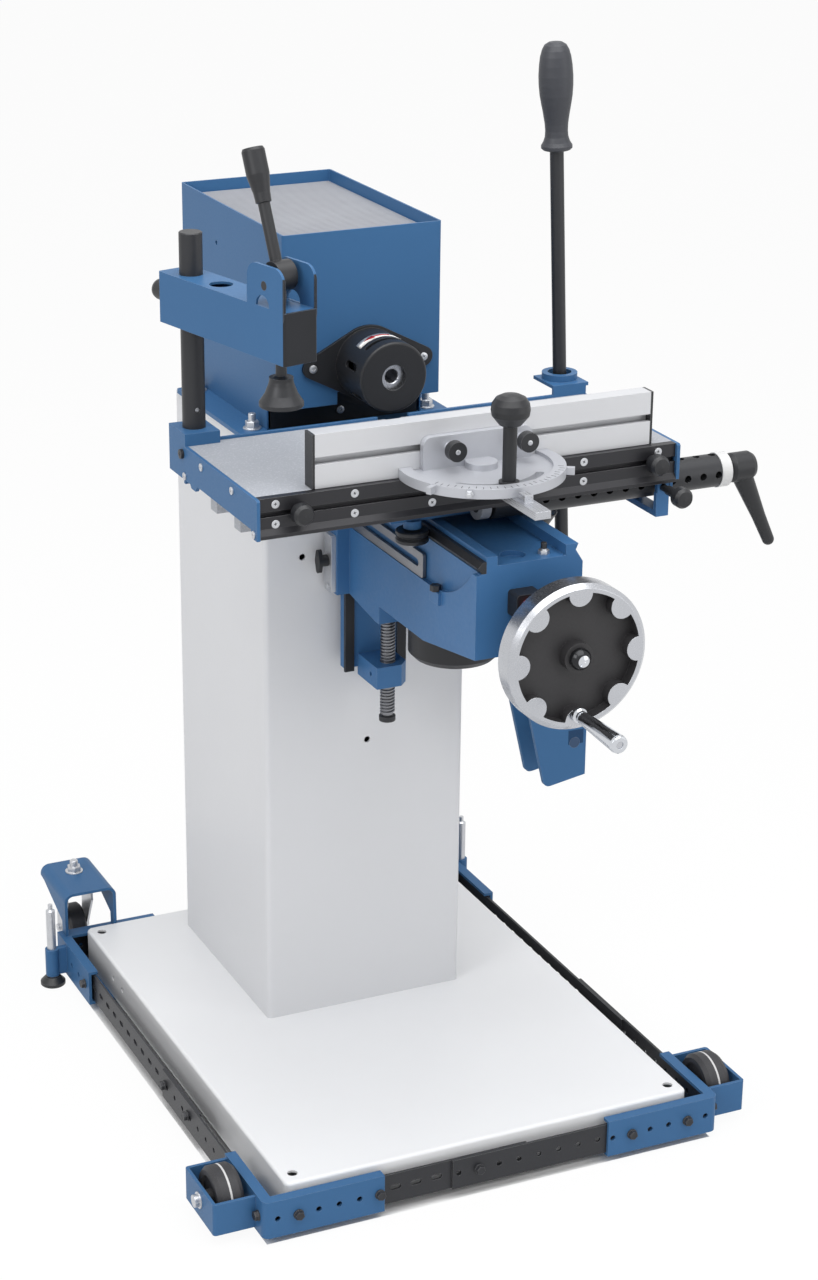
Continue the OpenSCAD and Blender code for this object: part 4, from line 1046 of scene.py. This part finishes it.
@dataclass
class HeadAndColumn(Assembly):
    """Column way, motor plate, motor, cover, guard and chuck."""

    way_low: tuple[float, float, float] = (27.9, -12.5, 500.0)
    way_high: tuple[float, float, float] = (40.5, -7.8, 810.0)
    stud_x: float = 113.0
    stud_y: tuple[float, float] = (95.0, 272.0)
    deck_z: float = 811.0
    ear_x: float = 70.5
    ear_y: float = 26.0
    low_screw: tuple[float, float, float] = (-5.5, 82.0, 825.0)
    spindle: tuple[float, float] = (6.0, 895.0)
    guard_r: float = 41.5
    mat_rib: float = 6.0
    mat_edge: float = 4.0
    mat_drop: float = 14.9
    rib_rise: float = 0.9
    film: Strip = Strip(lift=0.15, low=-15.5, high=-2.0, start=58.0, sweep=76.0)
    arrow_shaft: Strip = Strip(lift=0.35, low=-10.4, high=-7.0, start=76.0, sweep=28.0)
    arrow_head: Strip = Strip(lift=0.35, low=-13.4, high=-4.0, start=104.0, sweep=18.0)
    film_steps: int = 24
    film_t: float = 0.2
    arrow_tip: float = 0.04

    def dress(self) -> None:
        """Give the head's solids their finishes."""
        near, far = self.way_low, self.way_high
        way = Zoned(
            "column_way_casting",
            CAST_BLUE,
            (
                (Block((-far[0], *near[1:]), (-near[0], *far[1:])), BLACK_STEEL),
                (Block(near, far), BLACK_STEEL),
            ),
        )
        self.dress_all(
            {
                "motor_plate": BLUE_PAINT,
                "motor": MOTOR_BLACK,
                "motor_cover": BLUE_PAINT,
                "chuck_guard": BLACK_PLASTIC,
                "spindle_chuck": BRIGHT_STEEL,
                "column_way": way,
            }
        )

    def build(self) -> None:
        """Add studs, screws, the tray mat and the turning mark."""
        studs = [
            (self.at(side * self.stud_x, y, self.deck_z), UP, 8.0 * side)
            for side in (-1, 1)
            for y in self.stud_y
        ]
        nut = HexFastener(across=15, height=8.0, washer=11.0, stud=4.6, proud=9.0).build()
        self.scatter(nut, "deck_nut", "base", ZINC_STEEL, "zinc_steel", studs)
        middle, height = self.spindle
        ears = [(self.at(middle + s * self.ear_x, self.ear_y, height), FRONT, 20.0) for s in (-1, 1)]
        ears.append((self.at(*self.low_screw), FRONT, 35.0))
        screw = CrossScrew(radius=4.8, rise=1.8).build()
        self.scatter(screw, "ear_screw", "base", ZINC_STEEL, "zinc_steel", ears)
        self.tray_mat()
        self.turning_mark()

    def tray_mat(self) -> None:
        """Lay the ribbed mat in the tray of the cover."""
        low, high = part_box("motor_cover")
        edge = self.mat_edge * MM
        long = high.y - low.y - 2 * edge
        ribs = 2 * round(long / (self.mat_rib * MM)) + 1
        Bench.clear()
        bpy.ops.mesh.primitive_grid_add(x_subdivisions=1, y_subdivisions=ribs, size=1)
        mat = bpy.context.object
        mat.scale = (high.x - low.x - 2 * edge, long, 1)
        mat.location = ((low.x + high.x) / 2, (low.y + high.y) / 2, high.z - self.mat_drop * MM)
        Bench.settle(mat)
        step = long / ribs
        start = low.y + edge
        Bench.faces(mat, lambda c, n: int((c.y - start) / step) % 2 == 0)
        bpy.ops.mesh.extrude_region_move(TRANSFORM_OT_translate={"value": (0, 0, self.rib_rise * MM)})
        Bench.done()
        self.shop.fit(mat, "tray_mat", "base", MAT_RUBBER, "black_plastic")

    def bend(self, strip: Strip) -> Object:
        """Bend a narrow film round the guard.

        Args:
            strip: the film's height over the guard, its edges along Y, and its angles.

        Returns:
            The film, in its place.
        """
        Bench.clear()
        bpy.ops.mesh.primitive_plane_add(
            size=1 * MM, location=((self.guard_r + strip.lift) * MM, strip.low * MM, 0)
        )
        film = Bench.settle(bpy.context.object)
        Bench.verts(film, lambda c: True)
        bpy.ops.mesh.merge(type="CENTER")
        wide = (strip.high - strip.low) * MM
        bpy.ops.mesh.extrude_region_move(TRANSFORM_OT_translate={"value": (0, wide, 0)})
        Bench.done()
        Bench.apply(
            film,
            "SCREW",
            axis="Y",
            angle=-math.radians(strip.sweep),
            screw_offset=0.0,
            steps=self.film_steps,
            render_steps=self.film_steps,
        )
        film.rotation_euler.y = -math.radians(strip.start)
        film.location = self.at(self.spindle[0], 0.0, self.spindle[1])
        return Bench.settle(film)

    def turning_mark(self) -> None:
        """Lay a plain white film with a red arrow on top of the guard."""
        film = self.bend(self.film)
        Bench.apply(film, "SOLIDIFY", thickness=self.film_t * MM, offset=0.0)
        self.shop.fit(film, "turning_film", "base", WHITE_FILM, "black_plastic")
        shaft = self.bend(self.arrow_shaft)
        head = self.bend(self.arrow_head)
        middle = (self.arrow_head.low + self.arrow_head.high) / 2
        axis = self.at(self.spindle[0], middle, self.spindle[1])
        pace = self.arrow_head.sweep / self.film_steps
        near = NEARLY_HALF * math.radians(pace)
        for step in range(1, self.film_steps + 1):
            way = math.radians(self.arrow_head.start + pace * step)
            Bench.verts(head, lambda c, way=way: abs(math.atan2(c.z - axis.z, c.x - axis.x) - way) < near)
            narrow = max(self.arrow_tip, 1 - step / self.film_steps)
            bpy.ops.transform.resize(value=(1, narrow, 1), center_override=axis)
            Bench.done()
        arrow = Bench.join([shaft, head])
        Bench.apply(arrow, "SOLIDIFY", thickness=self.film_t * MM, offset=0.0)
        self.shop.fit(arrow, "turning_arrow", "base", RED_FILM, "red_plastic")


@dataclass
class KneeAndFeed(Assembly):
    """Knee, rise screw, handwheel, switch and feed lever."""

    wheel_axis: tuple[float, float, float] = (55.0, -412.0, 675.5)
    web_r: float = 73.6
    web_y: tuple[float, float] = (0.5, 16.0)
    boss_r: float = 17.2
    boss_y: tuple[float, float] = (-1.0, 16.0)
    tip_r: float = 6.6
    tip_y: tuple[float, float] = (-40.0, -6.0)
    grip_z: tuple[float, float] = (1137.0, 1400.0)
    hole_low: tuple[float, float, float] = (241.0, -59.0, 403.0)
    hole_high: tuple[float, float, float] = (262.0, -57.5, 422.0)
    pin_y: tuple[float, float] = (-80.0, -56.0)
    lug: tuple[float, float, float] = (-38.0, -251.0, 712.0)
    stop: tuple[float, float, float] = (52.0, -331.0, 768.0)
    stop_nut_z: tuple[float, float] = (760.0, 774.2)
    gib: tuple[float, float, float] = (-58.0, -2.0, 638.0)
    screw: tuple[float, float] = (0.0, -46.0)
    pitch: float = 4.0
    thread_r: float = 9.0
    thread_deep: float = 1.9
    thread_z: tuple[float, float] = (481.0, 617.0)
    screw_sides: int = 40
    core_lap: float = 0.05
    collar: tuple[float, float] = (10.0, 7.0)
    collar_z: tuple[float, float] = (400.0, 481.5)
    journal: tuple[float, float] = (6.9, 84.0)
    journal_drop: float = 85.0
    gear: tuple[float, float] = (25.7, 40.0)
    gear_sides: int = 72
    rim_edge: float = 0.8

    def dress(self) -> None:
        """Give the knee's solids their finishes."""
        wheel = Zoned(
            "handwheel_polished_and_crinkled",
            POLISHED_ALUMINIUM,
            (
                (Tube(Axis.Y, self.wheel_axis, 0, self.web_r, *self.web_y), CRINKLE_BLACK),
                (Tube(Axis.Y, self.wheel_axis, 0, self.boss_r, *self.boss_y), CRINKLE_BLACK),
            ),
        )
        tip = Tube(Axis.Y, self.wheel_axis, 0, self.tip_r, *self.tip_y)
        nut = Zoned("hub_nut_blackened", GLOSS_BLACK, ((tip, CHROME),))
        lever = Zoned("lever_rod_and_grip", BLACK_STEEL, ((band(Axis.Z, *self.grip_z), GRIP_PLASTIC),))
        # Painted shade: the fork's hole and a band of the lever block across Y take the darkened blue,
        # standing in for the shade there
        fork = Zoned("lever_fork_sheet_with_painted_shade", BLUE_PAINT, ((Block(self.hole_low, self.hole_high), SHADE_PAINTED_BLUE),))
        pivot = Zoned("lever_block_and_pin_with_painted_shade", ZINC_STEEL, ((band(Axis.Y, *self.pin_y), SHADE_PAINTED_BLUE),))
        self.dress_all(
            {
                "knee": CAST_BLUE,
                "bed_rail": BLACK_STEEL,
                "depth_stop": OILED_STEEL,
                "gear_pot": BLACK_PLASTIC,
                "gib_plate": ZINC_STEEL,
                "lever_fork": fork,
                "switch_box": BLACK_PLASTIC,
                "switch_button": RED_PLASTIC,
                "handwheel": wheel,
                "wheel_shaft": nut,
                "crank_handle": CHROME,
                "knee_lock": BLACK_PLASTIC,
                "lever_block": pivot,
                "feed_lever": lever,
            }
        )

    def build(self) -> None:
        """Add the threaded rise screw and the knee's fasteners."""
        self.rise_screw()
        nut = HexFastener(across=11, height=7.0).build()
        lug = [(self.at(*self.lug), UP, 10.0)]
        self.scatter(nut, "lug_nut", "knee_unit", BLACK_STEEL, "black_oxide", lug)
        stud = Zoned("stop_stud_and_nut", BLACK_STEEL, ((band(Axis.Z, *self.stop_nut_z), ZINC_STEEL),))
        nut = HexFastener(across=11, height=5.0, stud=3.4, proud=8.0).build()
        stop = [(self.at(*self.stop), UP, 5.0)]
        self.scatter(nut, "stop_stud", "knee_unit", stud, "zinc_steel", stop)
        screw = CrossScrew(radius=3.4, rise=1.4).build()
        gib = [(self.at(*self.gib), LEFT, 25.0)]
        self.scatter(screw, "gib_screw", "knee_unit", ZINC_STEEL, "zinc_steel", gib)

    def rise_screw(self) -> None:
        """Cut the screw's thread and stand it on its collar, journal and gear."""
        low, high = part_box("leadscrew")
        axis = self.at(*self.screw, 0.0)
        z0, z1 = self.thread_z
        deep = self.thread_deep
        root = self.thread_r - deep
        turns = int((z1 - z0) / self.pitch)
        flank = self.pitch / 6
        Bench.clear()
        bpy.ops.mesh.primitive_plane_add(size=1 * MM, location=(root * MM, 0, 0))
        thread = Bench.settle(bpy.context.object)
        Bench.verts(thread, lambda c: True)
        bpy.ops.mesh.merge(type="CENTER")
        for out, rise in ((deep, flank), (0.0, 2 * flank), (-deep, flank), (0.0, 2 * flank)):
            bpy.ops.mesh.extrude_region_move(TRANSFORM_OT_translate={"value": (out * MM, 0, rise * MM)})
        Bench.done()
        Bench.apply(
            thread,
            "SCREW",
            angle=2 * math.pi,
            screw_offset=self.pitch * MM,
            iterations=turns,
            steps=self.screw_sides,
            render_steps=self.screw_sides,
            use_merge_vertices=True,
            merge_threshold=0.00002,
        )
        thread.location = Vector((axis.x, axis.y, z0 * MM))
        Bench.settle(thread)
        Bench.faces(thread, lambda c, n: True)
        bpy.ops.mesh.normals_make_consistent(inside=False)
        Bench.done()
        foot, top = low.z / MM, high.z / MM
        collar = Bench.disc(self.screw_sides, *self.collar, foot)
        core = Bench.disc(self.screw_sides, root + self.core_lap, z1 - foot, foot)
        journal = Bench.disc(self.screw_sides, *self.journal, top - self.journal_drop)
        gear = Bench.disc(self.gear_sides, *self.gear, top - self.gear[1])
        for part in (collar, gear):
            Bench.faces(part, lambda c, n: abs(n.z) > FLAT)
            bpy.ops.mesh.bevel(offset=self.rim_edge * MM, segments=2, affect="EDGES")
            Bench.done()
        rest = Bench.join([collar, core, journal, gear])
        rest.location = Vector((axis.x, axis.y, 0))
        Bench.settle(rest)
        screw = Bench.smooth(Bench.join([thread, rest]), 30)
        oiled = Zoned("rise_screw_and_collar", OILED_STEEL, ((band(Axis.Z, *self.collar_z), BLACK_STEEL),))
        self.shop.fit(screw, "rise_screw_threaded", "rise_screw", oiled, "black_oxide")
        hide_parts("leadscrew")


@dataclass
class CompoundTable(Assembly):
    """Carriage, rollers, table, front rail, index rod and plunger."""

    roller_x: tuple[float, float] = (-50.5, 105.0)
    nut_half: float = 8.0
    nut_y: tuple[float, float] = (-225.0, -90.0)
    nut_drop: tuple[float, float] = (5.0, 0.2)
    ring_x: tuple[float, float] = (317.0, 330.2)
    rail_face: float = -273.0
    rail_sunk: float = 0.6
    rail_x: tuple[float, ...] = (-236.0, -145.0, -54.0, 130.0, 223.0)
    rail_z: tuple[float, float] = (844.5, 822.5)
    left_face: float = -259.0
    left_screws: tuple[tuple[float, float], ...] = (
        (-118.0, 843.0),
        (-208.0, 843.0),
        (-66.0, 817.5),
        (-269.0, 812.5),
    )
    socket: tuple[float, float] = (-60.0, 842.0)
    right_face: float = 249.0
    right_screws: tuple[tuple[float, float], ...] = ((-98.0, 842.0), (-190.0, 842.0), (-250.0, 842.0))

    def dress(self) -> None:
        """Give the table's solids their finishes."""
        rod = Zoned("index_rod_blackened", BLACK_STEEL, ((band(Axis.X, *self.ring_x), PALE_NYLON),))
        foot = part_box("roller_front_left")[0].z / MM
        low, high = (foot - drop for drop in self.nut_drop)
        half = self.nut_half
        front, back = self.nut_y
        nuts = tuple(
            (Block((x - half, front, low), (x + half, back, high)), ZINC_STEEL) for x in self.roller_x
        )
        carriage = Zoned("carriage_casting_and_nuts", CAST_BLUE, nuts)
        self.dress_all(
            {
                "carriage": carriage,
                "roller_front_left": BLACK_STEEL,
                "roller_rear_left": BLACK_STEEL,
                "roller_front_right": BLACK_STEEL,
                "roller_rear_right": BLACK_STEEL,
                "index_plunger": BLACK_PLASTIC,
                "table_top": TABLE_COAT,
                "table_bed": TABLE_COAT,
                "table_frame": BLUE_PAINT,
                "front_rail": BLACK_ANODISED,
                "rail_stop_left": BLACK_PLASTIC,
                "rail_stop_right": BLACK_PLASTIC,
                "index_rod": rod,
                "rod_lever": BLACK_PLASTIC,
            }
        )

    def build(self) -> None:
        """Add the table's screws."""
        sunk = self.rail_face + self.rail_sunk
        rail = [
            (self.at(x, sunk, z), FRONT, 20.0 * n) for n, x in enumerate(self.rail_x) for z in self.rail_z
        ]
        screw = CrossScrew(radius=4.6, rise=0.8, dome=0.1).build()
        self.scatter(screw, "rail_screw", "table", ZINC_STEEL, "zinc_steel", rail)
        sides = [(self.at(self.left_face, y, z), LEFT, 15.0) for y, z in self.left_screws]
        sides += [(self.at(self.right_face, y, z), RIGHT, 15.0) for y, z in self.right_screws]
        screw = CrossScrew(radius=4.4, rise=1.4).build()
        self.scatter(screw, "plate_screw", "table", ZINC_STEEL, "zinc_steel", sides)
        socket = [(self.at(self.left_face, *self.socket), LEFT, 0.0)]
        bolt = CrossScrew(radius=5.4, rise=3.6, dome=0.3).build()
        self.scatter(bolt, "socket_bolt", "table", BLACK_STEEL, "black_oxide", socket)


@dataclass
class ClampUnit(Assembly):
    """Clamp post, arm, cam lever and foot."""

    post: tuple[float, float] = (-238.0, -42.0)
    turn: float = -77.1
    arm_end: float = 204.0
    cap_t: float = 2.5
    pin_out: float = 10.0
    pin_z: float = 888.0

    def dress(self) -> None:
        """Give the clamp's solids their finishes."""
        way = math.radians(self.turn)
        toward = (math.cos(way), math.sin(way), 0.0)
        end = tuple(p + (self.arm_end - self.cap_t) * d for p, d in zip((*self.post, 0.0), toward))
        arm = Zoned("clamp_arm_sheet", BLUE_PAINT, ((Beyond(end, toward), BLACK_STEEL),))
        self.dress_all(
            {
                "clamp_post": BLACK_STEEL,
                "clamp_arm": arm,
                "arm_knob": BLACK_PLASTIC,
                "cam_lever": BLACK_PLASTIC,
                "clamp_foot": BLACK_STEEL,
            }
        )

    def build(self) -> None:
        """Set the pin in the post's cross hole."""
        hole = [(self.at(self.post[0], self.post[1] - self.pin_out, self.pin_z), FRONT, 0.0)]
        pin = CrossScrew(radius=2.7, rise=1.0, dome=0.3).build()
        self.scatter(pin, "post_pin", "post", ZINC_STEEL, "zinc_steel", hole)


@dataclass
class MitreGauge(Assembly):
    """Mitre bar, protractor head, knob and fence."""

    pivot: tuple[float, float] = (-2.0, -285.0)
    radius: float = 91.0
    face_z: float = 863.4
    rim_z: float = 858.0
    rim_way: tuple[float, float, float] = (-0.56, -0.83, 0.0)
    tick: tuple[float, float, float] = (6.0, 0.35, 0.15)
    tick_edge: float = 0.05
    tick_in: float = 7.0
    main_tick_in: float = 9.0
    scale_half: int = 60
    scale_step: int = 5
    main_step: int = 15
    thumb_x: tuple[float, float] = (-36.0, 50.0)
    thumb_r: float = 11.6
    thumb_y: tuple[float, float] = (-12.5, -1.0)
    thumb_face: float = -297.0
    slot_z: float = 883.0
    caps: tuple[tuple[float, float], ...] = ((-192.0, -188.0), (215.0, 219.0))

    def dress(self) -> None:
        """Give the gauge's solids their finishes."""
        knobs = tuple(
            (Tube(Axis.Y, (x, self.pivot[1], self.slot_z), 0, self.thumb_r, *self.thumb_y), BLACK_PLASTIC)
            for x in self.thumb_x
        )
        head = Zoned("mitre_head_and_thumb_screws", MITRE_ALLOY, knobs)
        fence = Zoned(
            "fence_extrusion_and_caps",
            ANODISED,
            tuple((band(Axis.X, *cap), BLACK_PLASTIC) for cap in self.caps),
        )
        self.dress_all(
            {"mitre_bar": BRIGHT_STEEL, "mitre_head": head, "mitre_knob": BLACK_PLASTIC, "fence": fence}
        )

    def build(self) -> None:
        """Add the scale's lines, the rim bolt and the ends of the thumb screws."""
        self.scale()
        out = Vector(self.rim_way)
        x, y = (middle + self.radius * way for middle, way in zip(self.pivot, out.xy))
        rim = [(self.at(x, y, self.rim_z), out, 0.0)]
        bolt = HexFastener(across=8, height=3.5, stud=2.6, proud=4.0).build()
        self.scatter(bolt, "rim_bolt", "protractor", ZINC_STEEL, "zinc_steel", rim)
        ends = [(self.at(x, self.thumb_face, self.slot_z), FRONT, 0.0) for x in self.thumb_x]
        screw = CrossScrew(radius=2.8, rise=0.8, dome=0.3).build()
        self.scatter(screw, "thumb_end", "protractor", ZINC_STEEL, "zinc_steel", ends)

    def scale(self) -> None:
        """Lay the scale's lines on the head's rim."""
        long, half, rise = (size * MM for size in self.tick)
        tick = Bench.slab(Vector((0, -half, 0)), Vector((long, half, rise)))
        Bench.faces(tick, lambda c, n: n.z > FLAT)
        bpy.ops.mesh.bevel(offset=self.tick_edge * MM, segments=1, affect="EDGES")
        Bench.done()
        centre = self.at(*self.pivot, self.face_z)
        ticks: list[Object] = []
        for step in range(-self.scale_half, self.scale_half + 1, self.scale_step):
            way = math.radians(step - 90)
            inward = self.tick_in if step % self.main_step else self.main_tick_in
            reach = (self.radius - inward) * MM
            place = centre + Vector((math.cos(way), math.sin(way), 0)) * reach
            ticks.append(Bench.copy(tick, place, UP, step - 90))
        bpy.data.objects.remove(tick)
        self.shop.fit(Bench.join(ticks), "mitre_scale", "protractor", DARK_MARK, "mitre_alloy")


@dataclass(frozen=True)
class Lamp:
    """A square area lamp: its place, aim and size in metres and its power in watts."""

    name: str
    place: tuple[float, float, float]
    aim: tuple[float, float, float]
    size: float
    power: float


@dataclass
class Studio:
    """Camera, floor, world and lamps of a plain white product photograph."""

    shop: Workshop
    eye: tuple[float, float, float] = (-1289.0, -2824.0, 1758.0)
    tilt: float = 68.2
    pan: float = -23.7
    lens: float = 78.0
    shift: tuple[float, float] = (0.0586, 0.0258)
    sensor: float = 36.0
    ambient: float = 0.46
    glow: float = 0.94
    floor_size: float = 30.0
    floor_drop: float = 0.0005
    paper: float = 0.9
    under: Block = Block((-288.0, -356.0, -60.0), (288.0, 358.0, 60.0))
    key: Lamp = Lamp("key_lamp", (-2.8, -1.3, 2.4), (0.0, 0.0, 0.6), size=1.6, power=36.0)
    fill: Lamp = Lamp("fill_lamp", (2.2, -2.6, 1.4), (0.0, 0.0, 0.6), size=2.0, power=17.0)
    top: Lamp = Lamp("top_lamp", (0.0, -0.8, 3.2), (0.0, -0.2, 0.2), size=3.0, power=96.0)

    def camera(self) -> None:
        """Set the camera where the photograph was taken."""
        lens = bpy.data.cameras.new("photo_camera")
        lens.lens = self.lens
        lens.sensor_width = self.sensor
        lens.shift_x, lens.shift_y = self.shift
        lens.clip_end = 50.0
        camera = bpy.data.objects.new("photo_camera", lens)
        bpy.context.scene.collection.objects.link(camera)
        camera.location = self.shop.datum.point(*self.eye)
        camera.rotation_euler = (math.radians(self.tilt), 0.0, math.radians(self.pan))
        bpy.context.scene.camera = camera

    @staticmethod
    def plain_rays(tree: NodeTree) -> NodeSocket:
        """Give one for the rays that see the white itself: camera, mirror and clear ones.

        Args:
            tree: the tree that takes the nodes.

        Returns:
            The mask's socket.
        """
        path = add_node(tree, "ShaderNodeLightPath", {})
        seen = path.outputs["Is Camera Ray"]
        for name in ("Is Glossy Ray", "Is Transmission Ray"):
            more = {0: seen, 1: path.outputs[name]}
            seen = add_node(tree, "ShaderNodeMath", more, operation="MAXIMUM").outputs[0]
        return seen

    def floor(self) -> None:
        """Lay a white floor that keeps the machine's soft shadow."""
        Bench.clear()
        bpy.ops.mesh.primitive_plane_add(size=self.floor_size, location=(0, 0, -self.floor_drop))
        floor = bpy.context.object
        floor.name = "studio_floor"
        material = bpy.data.materials.new("white_sweep")
        material.use_nodes = True
        tree = material.node_tree
        tree.nodes.clear()
        place = add_node(tree, "ShaderNodeTexCoord", {}).outputs["Object"]
        under = self.under.mask(tree, place, self.shop.datum)
        share = add_node(tree, "ShaderNodeMapRange", {0: under, 3: self.glow, 4: 0.0})
        seen = add_node(
            tree, "ShaderNodeMath", {0: self.plain_rays(tree), 1: share.outputs[0]}, operation="MULTIPLY"
        )
        paper = add_node(tree, "ShaderNodeBsdfDiffuse", {"Color": (self.paper, self.paper, self.paper, 1.0)})
        glow = add_node(tree, "ShaderNodeEmission", {"Color": (1, 1, 1, 1), "Strength": 1.0})
        blend = add_node(
            tree, "ShaderNodeMixShader", {0: seen.outputs[0], 1: paper.outputs[0], 2: glow.outputs[0]}
        )
        add_node(tree, "ShaderNodeOutputMaterial", {"Surface": blend.outputs[0]})
        floor.data.materials.append(material)

    def world(self) -> None:
        """Light from all round, with a white that camera and mirror rays see."""
        world = bpy.data.worlds.new("studio")
        bpy.context.scene.world = world
        world.use_nodes = True
        tree = world.node_tree
        tree.nodes.clear()
        level = add_node(tree, "ShaderNodeMapRange", {0: self.plain_rays(tree), 3: self.ambient, 4: 1.0})
        sky = add_node(
            tree, "ShaderNodeBackground", {"Color": (1, 1, 1, 1), "Strength": level.outputs[0]}
        )
        add_node(tree, "ShaderNodeOutputWorld", {"Surface": sky.outputs[0]})

    def lamps(self) -> None:
        """Hang a large key lamp at the upper left, a fill at the right and a top lamp."""
        for lamp in (self.key, self.fill, self.top):
            light = bpy.data.lights.new(lamp.name, "AREA")
            light.size = lamp.size
            light.energy = lamp.power
            holder = bpy.data.objects.new(lamp.name, light)
            bpy.context.scene.collection.objects.link(holder)
            holder.location = Vector(lamp.place)
            sight = Vector(lamp.aim) - Vector(lamp.place)
            holder.rotation_euler = sight.to_track_quat("-Z", "Y").to_euler()

    def build(self) -> None:
        """Set up the whole studio."""
        bpy.context.scene.view_settings.view_transform = "Standard"
        self.camera()
        self.floor()
        self.world()
        self.lamps()


def main() -> None:
    """Load the frame, dress it, add the small pieces and light it."""
    logging.basicConfig(level=logging.INFO, format="%(name)s: %(message)s")
    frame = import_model()
    shop = Workshop(frame["nodes"])
    Studio(shop).build()
    for assembly in (MobileFrame, HeadAndColumn, KneeAndFeed, CompoundTable, ClampUnit, MitreGauge):
        group = assembly(shop)
        group.dress()
        group.build()
        LOG.info("finished %s", assembly.__name__)


if __name__ == "__main__":
    main()
